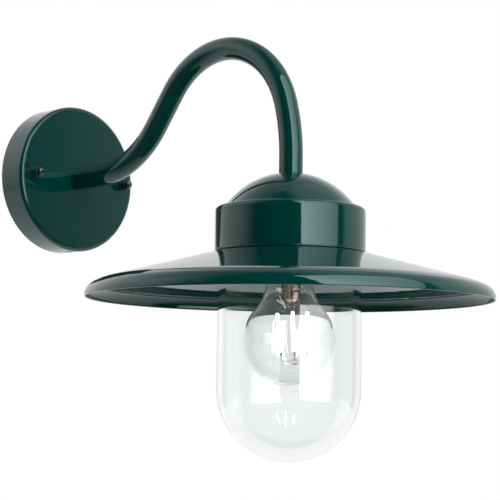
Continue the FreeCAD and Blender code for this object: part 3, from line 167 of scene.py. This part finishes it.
def makeNutFinish(look):
    material, tree, surface, place = makeEnamel(enamelLook)
    material.name = "powder_coat_and_dark_nickel"
    along = addNode(tree, "ShaderNodeSeparateXYZ", (), {0: place}).outputs["Y"]
    onDome = spread(tree, along, 1.0, 0.0, look["domeStart"] - look["edge"], look["domeStart"])
    coat = surface.inputs["Base Color"].links[0].from_socket
    rough = surface.inputs["Roughness"].links[0].from_socket
    colour = addNode(tree, "ShaderNodeMix", {"data_type": "RGBA", 7: srgb(look["plate"])},
                     {0: onDome, 6: coat}).outputs[2]
    roughness = addNode(tree, "ShaderNodeMix", {3: look["plateRoughness"]}, {0: onDome, 2: rough}).outputs[0]
    tree.links.new(colour, surface.inputs["Base Color"])
    tree.links.new(roughness, surface.inputs["Roughness"])
    tree.links.new(onDome, surface.inputs["Metallic"])
    return material


nutFinish = makeNutFinish(nutLook)

# Plain finishes: two tones clouded together, a roughness that wanders, and a fine relief.
# tones, metallic, roughness low and high, cloud in mm, relief in mm and its grain in mm, other sockets
plainFinishes = {
    # pressed steel, bright zinc plated: a cool grey with a faint mottled spangle
    "bright_zinc_plate": ("#c9cdd0", "#b4b9be", 1.0, 0.24, 0.38, 3.0, 0.004, 0.8, {}),
    # pressed brass left bright: warm yellow metal, slightly dulled by handling
    "pressed_brass": ("#d9b873", "#c79f58", 1.0, 0.22, 0.36, 4.0, 0.003, 0.6, {}),
    # nickel plated brass sheet, rolled into a thread: a soft warm mirror
    "nickel_plated_brass": ("#d6d0c4", "#c5beb0", 1.0, 0.14, 0.24, 6.0, 0.002, 0.8, {}),
    # glazed porcelain: creamy white body under a wet glaze, slightly uneven
    "glazed_porcelain": ("#f1eee6", "#e9e5da", 0.0, 0.05, 0.10, 12.0, 0.006, 4.0, {"Coat Weight": 0.5}),
    # black glass insulator, melted in place: near black, glossy
    "black_glass_insulator": ("#0b0b0d", "#141416", 0.0, 0.06, 0.14, 5.0, 0.004, 2.0, {}),
    # natural nylon, moulded: milky, satin
    "moulded_nylon": ("#e9e6da", "#dfdccd", 0.0, 0.38, 0.50, 5.0, 0.004, 0.5, {"Subsurface Weight": 0.15,
                                                                               "Subsurface Scale": 0.002}),
    # the same nylon dyed dark for the nuts' washers, so that they vanish against the coat
    "dark_moulded_nylon": ("#16221f", "#1b2825", 0.0, 0.38, 0.50, 5.0, 0.004, 0.5, {}),
    # foam rubber gasket: matt black with fine closed cells
    "black_foam_rubber": ("#19191a", "#222223", 0.0, 0.68, 0.85, 6.0, 0.05, 0.6, {}),
    # silicone rubber, moulded: cloudy, matt, lets a little light in
    "cloudy_silicone": ("#dcddd8", "#cfd1cb", 0.0, 0.42, 0.55, 8.0, 0.006, 0.8, {"Subsurface Weight": 0.3,
                                                                                "Subsurface Scale": 0.002}),
    # extruded silicone insulation: satin, drawn smooth
    "brown_insulation": ("#5a3420", "#4c2b19", 0.0, 0.35, 0.48, 6.0, 0.006, 0.5, {}),
    "blue_insulation": ("#1f5fae", "#1a5298", 0.0, 0.35, 0.48, 6.0, 0.006, 0.5, {}),
    # dumet lead wire: copper skin, oxidised darker in places
    "copper_lead_wire": ("#c98a68", "#8f5a43", 1.0, 0.20, 0.34, 1.2, 0.002, 0.3, {}),
    # the same copper drawn into a sleeve and fused in glass: pinkish, mottled with pale patches that are
    # painted glints
    "copper_sleeve_with_painted_glints": ("#fff4ec", "#b98a74", 0.45, 0.10, 0.30, 0.9, 0.03, 0.7, {}),
    # nickel strip at the ends of the light sticks: grey, slightly burnt where it was welded
    "welded_nickel_strip": ("#8b8780", "#5f5a54", 1.0, 0.28, 0.42, 0.8, 0.002, 0.3, {}),
}


def makePlain(name, row):
    light, dark, metal, low, high, cloudSize, depth, grainSize, extra = row
    material, tree, surface, place = newFinish(name, {"Metallic": metal, **extra})
    cloud = grain(tree, place, cloudSize, 3.0)
    tree.links.new(blendColours(tree, cloud, light, dark), surface.inputs["Base Color"])
    tree.links.new(spread(tree, cloud, low, high), surface.inputs["Roughness"])
    relief(tree, surface, grain(tree, place, grainSize), depth)
    return material


finishes = {name: makePlain(name, row) for name, row in plainFinishes.items()}


# Earth wire: green silicone with yellow stripes along it.
earthLook = {
    "green": "#3f8f3a", "yellow": "#e3cf2e", "stripe": 1.885, "edge": (0.62, 0.66), "roughness": (0.35, 0.48),
    "cloud": 6.0, "grain": 0.5, "depth": 0.006,
}


def makeEarthInsulation(look):
    material, tree, surface, place = newFinish("green_and_yellow_insulation", {})
    stripe = spread(tree, bands(tree, place, "X", look["stripe"]), 0.0, 1.0, *look["edge"])
    cloud = grain(tree, place, look["cloud"])
    tree.links.new(blendColours(tree, stripe, look["green"], look["yellow"]), surface.inputs["Base Color"])
    tree.links.new(spread(tree, cloud, *look["roughness"]), surface.inputs["Roughness"])
    relief(tree, surface, grain(tree, place, look["grain"]), look["depth"])
    return material


finishes["green_and_yellow_insulation"] = makeEarthInsulation(earthLook)

# Clear glass: soda lime for the pressed jar, with a faint green cast and slow waves; thin blown glass for the
# lamp; and the lamp's foot, a little warm from the copper in it.
glassLook = {
    "pressed_jar_glass": {"tint": "#fcfefd", "ior": 1.5, "wave": 30.0, "depth": 0.02},
    "blown_lamp_glass": {"tint": "#fafbfb", "ior": 1.5, "wave": 18.0, "depth": 0.02},
    "lamp_foot_glass": {"tint": "#f6efe9", "ior": 1.52, "wave": 3.0, "depth": 0.06},
}


def makeGlass(name, look):
    material, tree, surface, place = newFinish(name, {
        "Base Color": srgb(look["tint"]), "Roughness": 0.0, "IOR": look["ior"], "Transmission Weight": 1.0})
    relief(tree, surface, grain(tree, place, look["wave"], 1.0), look["depth"])
    return material


for name, look in glassLook.items():
    finishes[name] = makeGlass(name, look)

# Light sticks: cast silicone with phosphor, lit from inside, so nearly white with slightly warmer bands.
stickLook = {
    "colour": "#fffbf2", "warm": "#fff3df", "band": 4.3426, "glow": 6.0, "roughness": 0.45, "grain": 0.6,
    "depth": 0.02,
}


def makePhosphor(look):
    material, tree, surface, place = newFinish("lit_phosphor_silicone", {
        "Roughness": look["roughness"], "Emission Strength": look["glow"]})
    warmth = spread(tree, bands(tree, place, "Z", look["band"]), 0.0, 0.5, 0.0, 1.0)
    tone = blendColours(tree, warmth, look["colour"], look["warm"])
    tree.links.new(tone, surface.inputs["Base Color"])
    tree.links.new(tone, surface.inputs["Emission Color"])
    relief(tree, surface, grain(tree, place, look["grain"]), look["depth"])
    return material


finishes["lit_phosphor_silicone"] = makePhosphor(stickLook)
print("finishes made")


# ---- modelling helpers
def onAxis(height, out=0.0):  # a point at that height on the lamp's axis, or that far to its right
    return axisPoint + Vector((out, 0, height))


def settle(piece):  # leaves the piece at the world's origin with its place in its mesh
    bpy.ops.object.transform_apply(location=True, rotation=True, scale=True)
    bpy.ops.object.select_all(action="DESELECT")
    return piece


def alone(piece):
    bpy.ops.object.select_all(action="DESELECT")
    piece.select_set(True)
    bpy.context.view_layer.objects.active = piece


def joinAll(pieces, name):
    alone(pieces[0])
    for piece in pieces[1:]:
        piece.select_set(True)
    bpy.ops.object.join()
    pieces[0].name = name
    return settle(pieces[0])


def tidyMesh(piece, angle=40.0):  # merged, faces outwards, rounded where the turn is gentle
    alone(piece)
    bpy.ops.object.mode_set(mode="EDIT")
    bpy.ops.mesh.select_all(action="SELECT")
    bpy.ops.mesh.remove_doubles(threshold=1e-6)
    bpy.ops.mesh.normals_make_consistent(inside=False)
    bpy.ops.object.mode_set(mode="OBJECT")
    bpy.ops.object.shade_smooth_by_angle(angle=math.radians(angle))
    return piece


def modify(piece, kind, settings):
    alone(piece)
    bpy.ops.object.modifier_add(type=kind)
    modifier = piece.modifiers[-1]
    for key, value in settings.items():
        setattr(modifier, key, value)
    bpy.ops.object.modifier_apply(modifier=modifier.name)


def copies(piece, turns, centre):  # the piece turned round an upright line, each copy with its own mesh
    made = []
    for turn in turns:
        twin = piece.copy()
        twin.data = piece.data.copy()
        bpy.context.collection.objects.link(twin)
        twin.matrix_world = (Matrix.Translation(centre) @ Matrix.Rotation(math.radians(turn), 4, "Z")
                             @ Matrix.Translation(-centre))
        alone(twin)
        made.append(settle(twin))
    bpy.data.objects.remove(piece)
    return made


def drawDown(name, top, rings, sides):  # a bar pulled down through rings of (drop, wide, deep) in mm
    bpy.ops.mesh.primitive_circle_add(vertices=sides, radius=mm, fill_type="NGON", location=top)
    bar = bpy.context.object
    bar.name = name
    bpy.ops.object.mode_set(mode="EDIT")
    bpy.ops.mesh.select_all(action="SELECT")
    bpy.ops.transform.resize(value=(rings[0][1], rings[0][2], 1), center_override=top)
    for last, ring in zip(rings, rings[1:]):
        bpy.ops.mesh.extrude_region_move(TRANSFORM_OT_translate={"value": (0, 0, (last[0] - ring[0]) * mm)})
        bpy.ops.transform.resize(value=(ring[1] / last[1], ring[2] / last[2], 1),
                                 center_override=top - Vector((0, 0, ring[0] * mm)))
    bpy.ops.object.mode_set(mode="OBJECT")
    return tidyMesh(settle(bar))


def flipped(rings, length):  # the same rings, from the other end
    return [(length - drop, wide, deep) for drop, wide, deep in reversed(rings)]


def drawWire(name, points, radius):
    bpy.ops.curve.primitive_nurbs_path_add()
    wire = bpy.context.object
    wire.name = name
    wire.data.splines.clear()
    line = wire.data.splines.new("NURBS")
    line.points.add(len(points) - 1)
    for spot, point in zip(line.points, points):
        spot.co = (*point, 1.0)
    line.order_u = 3
    line.use_endpoint_u = True
    wire.data.bevel_depth = radius
    wire.data.bevel_resolution = 3
    wire.data.resolution_u = 6
    wire.data.use_fill_caps = True
    bpy.ops.object.convert(target="MESH")
    return tidyMesh(settle(wire))


def drawRing(name, centre, profile, sides):  # a closed ring swept along its (radius, height) points, in mm
    bpy.ops.mesh.primitive_circle_add(vertices=sides, radius=profile[0][0] * mm, fill_type="NOTHING",
                                      location=centre + Vector((0, 0, profile[0][1] * mm)))
    ring = bpy.context.object
    ring.name = name
    bpy.ops.object.mode_set(mode="EDIT")
    bpy.ops.mesh.select_all(action="SELECT")
    for last, point in zip(profile, profile[1:] + profile[:1]):
        bpy.ops.mesh.extrude_region_move(TRANSFORM_OT_translate={"value": (0, 0, (point[1] - last[1]) * mm)})
        grow = point[0] / last[0]
        bpy.ops.transform.resize(value=(grow, grow, 1), center_override=centre)
    bpy.ops.object.mode_set(mode="OBJECT")
    return tidyMesh(settle(ring))


# ---- the collar's lower edge: a fine rolled bead just above the shade
beadSetup = {"radius": 49.6, "lift": 0.32, "bead": 0.6, "points": 14, "sides": 160}


def makeBead(setup):
    turns = [math.tau * i / setup["points"] for i in range(setup["points"])]
    profile = [(setup["radius"] + setup["bead"] * math.cos(turn),
                setup["lift"] + setup["bead"] * math.sin(turn)) for turn in turns]
    return drawRing("collar_bead", onAxis(headLow.z), profile, setup["sides"])


bead = makeBead(beadSetup)
bead.data.materials.append(enamel)
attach(bead, "sconce")
print("collar's bead made")

# ---- the lamp's foot: flared glass, pinched flat round its copper leads, then a thin rod down to a button
footSetup = {
    "rings": [  # drop from the top, wide and deep, in mm
        (0.0, 11.3, 11.3), (0.8, 11.3, 11.3), (1.6, 8.4, 8.4), (3.2, 6.7, 6.7), (6.0, 5.9, 5.8),
        (9.6, 5.9, 5.0), (12.0, 6.5, 3.8), (15.0, 6.6, 3.3), (17.4, 6.6, 3.4), (18.4, 5.6, 3.0),
        (19.6, 6.2, 3.2), (24.6, 6.0, 2.9), (26.4, 4.6, 2.4), (28.0, 2.8, 2.0), (29.6, 1.4, 1.4),
        (31.8, 1.0, 1.0), (61.4, 0.9, 0.9), (63.0, 1.2, 1.2), (63.9, 1.9, 1.9), (65.0, 2.2, 2.2),
        (66.1, 1.9, 1.9), (66.9, 1.1, 1.1), (67.1, 0.4, 0.4)],
    "sides": 40,
    "rod": 1.0,  # radius of the rod below the pinch
    "flat": -43.5,  # the pinch lies across the camera's view
    "lean": -3.3,  # degrees; the foot stands a little askew, as in most such lamps
}
lampTop = onAxis(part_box("lamp_stem")[1].z)
seenFrom = math.radians(cameraSetup["azimuth"])
towardsCamera = Vector((math.sin(seenFrom), -math.cos(seenFrom), 0))
leanFoot = (Matrix.Translation(lampTop) @ Matrix.Rotation(math.radians(-footSetup["lean"]), 4, towardsCamera)
            @ Matrix.Translation(-lampTop))


def lean(piece):
    alone(piece)
    piece.matrix_world = leanFoot @ piece.matrix_world
    return settle(piece)


def makeFoot(setup):
    foot = drawDown("foot", lampTop, setup["rings"], setup["sides"])
    modify(foot, "SUBSURF", {"levels": 1, "render_levels": 1})
    foot = copies(foot, [setup["flat"]], lampTop)[0]
    foot.name = "lamp_foot"
    return lean(foot)


foot = makeFoot(footSetup)
foot.data.materials.append(finishes["lamp_foot_glass"])
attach(foot, "lamp")
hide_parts("lamp_stem")

# ---- light sticks: a rounded phosphor coat on a strip, with a folded metal clip at each end
stickSetup = {
    "top": 10.0, "bottom": 8.5,  # mm from the axis
    "turns": [-46.5, 43.5, 133.5, 223.5],  # degrees round it
    "bare": 2.6,  # what the coat leaves free at each end
    "wide": 1.15, "deep": 0.95, "sides": 20,
    "rounding": [(0.0, 0.6), (0.35, 0.9), (0.9, 1.0)],  # mm from the coat's end, share of its width there
    "clip": [  # rings from its narrow end
        (0.0, 0.36, 0.4), (0.91, 0.44, 0.4), (1.17, 0.8, 0.5), (2.9, 0.8, 0.5)],
    "clipSides": 8,
}
stickLow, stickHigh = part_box("lamp_filaments")
stickTop = onAxis(stickHigh.z, stickSetup["top"] * mm)
stickFoot = onAxis(stickLow.z, stickSetup["bottom"] * mm)


def makeSticks(setup):
    length = (stickHigh.z - stickLow.z) / mm
    ends = [(drop, setup["wide"] * share, setup["deep"] * share) for drop, share in setup["rounding"]]
    coat = drawDown("stick", onAxis(stickHigh.z - setup["bare"] * mm),
                    ends + flipped(ends, length - 2 * setup["bare"]), setup["sides"])
    clipLength = setup["clip"][-1][0]
    clip = joinAll([
        drawDown("clip", onAxis(stickHigh.z), setup["clip"], setup["clipSides"]),
        drawDown("clip", onAxis(stickLow.z + clipLength * mm), flipped(setup["clip"], clipLength),
                 setup["clipSides"])], "clip")
    slant = math.atan2(setup["top"] - setup["bottom"], length)
    lay = (Matrix.Translation(stickFoot) @ Matrix.Rotation(slant, 4, "Y")
           @ Matrix.Translation(-onAxis(stickLow.z)))
    made = []
    for name, part in (("light_sticks", coat), ("stick_clips", clip)):
        alone(part)
        part.matrix_world = lay
        made.append(lean(joinAll(copies(settle(part), setup["turns"], axisPoint), name)))
    return made


sticks, clips = makeSticks(stickSetup)
sticks.data.materials.append(finishes["lit_phosphor_silicone"])
clips.data.materials.append(finishes["welded_nickel_strip"])
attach(sticks, "lamp")
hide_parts("lamp_filaments")
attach(clips, "lamp")

# ---- leads: thick ones from the pinch to the sticks' tops, thin ones from their feet back to the glass rod
leadSetup = {
    "radius": 0.3, "thinRadius": 0.17,
    "root": 4.2,  # where the thick ones lie in the glass, from the axis
    "inside": 12.0,  # how far up they run there, above the sticks' tops
    "shoulder": 1.6,  # and where they leave it
    "arch": 1.0,  # how far they bow up on the way
    "dip": 3.4,  # how far the thin ones hang below the sticks
    "straight": 0.7,  # the share of that which hangs straight
}


def makeLeads(setup):
    high = onAxis(stickHigh.z + setup["inside"] * mm, setup["root"] * mm)
    bend = onAxis(stickHigh.z + setup["shoulder"] * mm, setup["root"] * mm)
    bow = (bend + stickTop) / 2 + Vector((0, 0, setup["arch"] * mm))
    thick = drawWire("lead", [high, (high + bend) / 2, bend, bow, stickTop], setup["radius"] * mm)
    drop = Vector((0, 0, setup["dip"] * mm))
    low = stickFoot - drop
    end = onAxis(stickFoot.z, (footSetup["rod"] + setup["thinRadius"]) * mm) - drop
    thin = drawWire("lead", [stickFoot, stickFoot - drop * setup["straight"], low, (low + end) / 2, end],
                    setup["thinRadius"] * mm)
    lead = joinAll([thick, thin], "lead")
    return lean(joinAll(copies(lead, stickSetup["turns"], axisPoint), "lamp_leads"))


leads = makeLeads(leadSetup)
leads.data.materials.append(finishes["copper_lead_wire"])

# ---- the drawn copper sleeve round the leads in the pinch, faceted to glint through the glass, with painted glints
sleeveSetup = {
    "top": 8.0, "bottom": 25.6,  # drop from the foot's top
    "rings": [  # share of the way down, wide and deep
        (0.0, 3.2, 3.2), (0.22, 5.3, 3.0), (0.5, 5.3, 2.5), (0.56, 3.816, 1.8), (0.64, 4.77, 2.2),
        (0.9, 4.24, 1.9), (1.0, 2.12, 1.0)],
    "facets": 9, "bevel": 0.25,
}


def makeSleeve(setup):
    length = setup["bottom"] - setup["top"]
    rings = [(share * length, wide, deep) for share, wide, deep in setup["rings"]]
    sleeve = drawDown("sleeve", lampTop - Vector((0, 0, setup["top"] * mm)), rings, setup["facets"])
    sleeve = copies(sleeve, [footSetup["flat"]], lampTop)[0]
    sleeve.name = "lead_sleeve"
    modify(sleeve, "BEVEL", {"width": setup["bevel"] * mm, "segments": 2})
    bpy.ops.object.shade_flat()
    return lean(sleeve)


sleeve = makeSleeve(sleeveSetup)
# its finish mixes a copper tone with painted glints
sleeve.data.materials.append(finishes["copper_sleeve_with_painted_glints"])
for piece in (leads, sleeve):
    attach(piece, "lamp")
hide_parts("lamp_lead_wires")
print("lamp's foot, sticks and leads made")

# ---- finishes on the nodes that stay
finishOf = {
    "rose_cup gooseneck_tube lamp_head shade": enamel,
    "cap_nut_left cap_nut_right": nutFinish,
    "wall_bracket rose_studs wall_end_fitting wall_lock_washer wall_lock_nut head_end_fitting "
    "head_lock_washer head_lock_nut shade_screws holder_stirrup holder_screws holder_nuts "
    "holder_terminal_screws terminal_block_screws terminal_block_fixing_screw wall_earth_screw "
    "head_earth_screw": finishes["bright_zinc_plate"],
    "holder_terminals holder_centre_contact terminal_block_clamps wall_earth_tag head_earth_tag "
    "lamp_contact_tip": finishes["pressed_brass"],
    "lamp_screw_cap holder_screw_shell": finishes["nickel_plated_brass"],
    "holder_body": finishes["glazed_porcelain"],
    "lamp_insulator": finishes["black_glass_insulator"],
    "terminal_block": finishes["moulded_nylon"],
    "nut_washer_left nut_washer_right": finishes["dark_moulded_nylon"],
    "rose_seal cable_bushing shade_seal": finishes["black_foam_rubber"],
    "jar_seal": finishes["cloudy_silicone"],
    "glass_jar": finishes["pressed_jar_glass"],
    "lamp_glass": finishes["blown_lamp_glass"],
    "live_wire": finishes["brown_insulation"],
    "neutral_wire": finishes["blue_insulation"],
    "earth_wire": finishes["green_and_yellow_insulation"],
}
for names, material in finishOf.items():
    for name in names.split():
        for holder in nodes[name].material_slots:
            holder.material = material
print("finishes on the nodes")


# ---- studio: pale paper underneath, a room with pale stretches of wall, and one soft box
def headingOf(turn, rise=0.0):  # a direction, turned round and raised as seen from the camera
    around = math.radians(cameraSetup["azimuth"] + turn)
    up = math.radians(rise)
    return Vector((math.sin(around) * math.cos(up), -math.cos(around) * math.cos(up), math.sin(up)))


def facing(tree, vector, turn, rise=0.0):  # how far a point or a direction lies towards that heading
    return addNode(tree, "ShaderNodeVectorMath", {"operation": "DOT_PRODUCT", 1: headingOf(turn, rise)},
                   {0: vector}).outputs["Value"]


def combine(tree, operation, first, second):
    return addNode(tree, "ShaderNodeMath", {"operation": operation}, {0: first, 1: second}).outputs[0]


floorSetup = {
    "size": 8.0, "height": -0.95, "colour": "#d8d8d5", "cloud": "#d2d2cf", "cloudSize": 300.0,
    "roughness": 0.9,
    "behind": (-0.5, 0.1),  # metres past the origin, seen from the camera, where it turns pale for gloss
    "mirrored": (0.1, 1.1),  # how bright gloss sees it before and after
    "bright": 0.6,  # how far the camera sees it as plain white; the rest keeps the object's shadow
    "through": 0.93,  # how bright glass shows it
}


def makeFloor(setup):
    bpy.ops.mesh.primitive_plane_add(size=setup["size"], location=(0, 0, setup["height"]))
    floor = bpy.context.object
    floor.name = "floor"
    bpy.ops.object.transform_apply(location=True)
    material, tree, surface, place = newFinish("pale_paper", {"Roughness": setup["roughness"]})
    cloud = grain(tree, place, setup["cloudSize"])
    tree.links.new(blendColours(tree, cloud, setup["colour"], setup["cloud"]), surface.inputs["Base Color"])
    ray = addNode(tree, "ShaderNodeLightPath").outputs
    mirrored = spread(tree, facing(tree, place, 180.0), *setup["mirrored"], *setup["behind"])
    level = addNode(tree, "ShaderNodeMix", {2: 1.0}, {0: ray["Is Glossy Ray"], 3: mirrored}).outputs[0]
    level = addNode(tree, "ShaderNodeMix", {3: setup["through"]},
                    {0: ray["Is Transmission Ray"], 2: level}).outputs[0]
    glow = addNode(tree, "ShaderNodeEmission", (), {"Strength": level}).outputs[0]
    bounced = combine(tree, "MAXIMUM", ray["Is Glossy Ray"], ray["Is Transmission Ray"])
    white = addNode(tree, "ShaderNodeMath", {"operation": "MULTIPLY_ADD", 1: setup["bright"]},
                    {0: ray["Is Camera Ray"], 2: bounced}).outputs[0]
    seen = addNode(tree, "ShaderNodeMixShader", (), {0: white, 1: surface.outputs[0], 2: glow}).outputs[0]
    tree.links.new(seen, tree.get_output_node("ALL").inputs["Surface"])
    floor.data.materials.append(material)


makeFloor(floorSetup)

roomSetup = {
    "dim": 0.02,  # brightness of the walls between the pale stretches
    "walls": [  # pale stretches that fade out: turn and rise of the middle, edges as cosines, brightness
        (-118.0, 25.0, 0.42, 0.9, 1.3), (176.0, 0.0, -0.06, 0.11, 1.0)],
    "skylight": (100.0, 60.0, 0.78, 0.95, 0.8),  # one more, which the ceiling's shade doesn't darken
    "low": (0.0, 0.4, 0.82, 1.15),  # the walls grow brighter between these heights, from and to these shares
    "ceiling": (0.5, 0.9, 1.0, 0.4),  # and darken again between these, towards the ceiling
    "through": (0.3, 0.9, 0.1, 1.0),  # glass shows white straight ahead, and less towards the sides
}


def makeRoom(setup):
    world = bpy.data.worlds.new("studio")
    bpy.context.scene.world = world
    world.use_nodes = True
    tree = world.node_tree
    tree.nodes.clear()
    ray = addNode(tree, "ShaderNodeLightPath").outputs
    direction = addNode(tree, "ShaderNodeTexCoord").outputs["Generated"]
    height = addNode(tree, "ShaderNodeSeparateXYZ", (), {0: direction}).outputs["Z"]

    def stretch(turn, rise, start, end, bright):
        return addNode(tree, "ShaderNodeMapRange", {
            "interpolation_type": "SMOOTHSTEP", "From Min": start, "From Max": end,
            "To Min": setup["dim"], "To Max": bright},
            {"Value": facing(tree, direction, turn, rise)}).outputs["Result"]

    def fade(value, start, end, first, last):
        return spread(tree, value, first, last, start, end)

    shaded = combine(tree, "MAXIMUM", *(stretch(*wall) for wall in setup["walls"]))
    for share in (setup["ceiling"], setup["low"]):
        shaded = combine(tree, "MULTIPLY", shaded, fade(height, *share))
    shaded = combine(tree, "MAXIMUM", shaded, stretch(*setup["skylight"]))
    through = fade(facing(tree, direction, 180.0), *setup["through"])
    level = addNode(tree, "ShaderNodeMix", (),
                    {0: ray["Is Transmission Ray"], 2: shaded, 3: through}).outputs[0]
    level = addNode(tree, "ShaderNodeMix", {3: 1.0}, {0: ray["Is Camera Ray"], 2: level}).outputs[0]
    light = addNode(tree, "ShaderNodeBackground", {"Color": srgb("#ffffff")}, {"Strength": level})
    addNode(tree, "ShaderNodeOutputWorld", (), {"Surface": light.outputs[0]})


makeRoom(roomSetup)

boxSetup = {
    "turn": 44.5, "rise": 21.0, "distance": 1.8,  # degrees round from the camera and up, metres
    "width": 2.12, "height": 3.2,
    "sideGlow": (6.5, 1.8),  # glow at its left and right edge
    "share": (1.15, 0.68),  # and the share of it at the top and the bottom
}


def makeBox(setup):
    away = headingOf(setup["turn"], setup["rise"])
    bpy.ops.object.light_add(type="AREA", location=axisPoint + away * setup["distance"])
    lamp = bpy.context.object
    lamp.name = "box_front"
    lamp.rotation_euler = (-away).to_track_quat("-Z", "Y").to_euler()
    lamp.visible_camera = False
    lamp.data.shape = "RECTANGLE"
    lamp.data.size, lamp.data.size_y = setup["width"], setup["height"]
    lamp.data.energy = math.pi * setup["width"] * setup["height"]  # one unit of brightness over the whole box
    lamp.data.use_nodes = True
    tree = lamp.data.node_tree
    tree.nodes.clear()
    spot = addNode(tree, "ShaderNodeNewGeometry").outputs["Parametric"]
    parts = addNode(tree, "ShaderNodeSeparateXYZ", (), {0: spot}).outputs
    sideways = spread(tree, parts["X"], *setup["sideGlow"], 0.0, 1.0)
    downwards = spread(tree, parts["Y"], *setup["share"], 0.0, 1.0)
    glow = combine(tree, "MULTIPLY", sideways, downwards)
    light = addNode(tree, "ShaderNodeEmission", (), {"Strength": glow})
    addNode(tree, "ShaderNodeOutputLight", (), {"Surface": light.outputs[0]})


makeBox(boxSetup)
print("studio made")
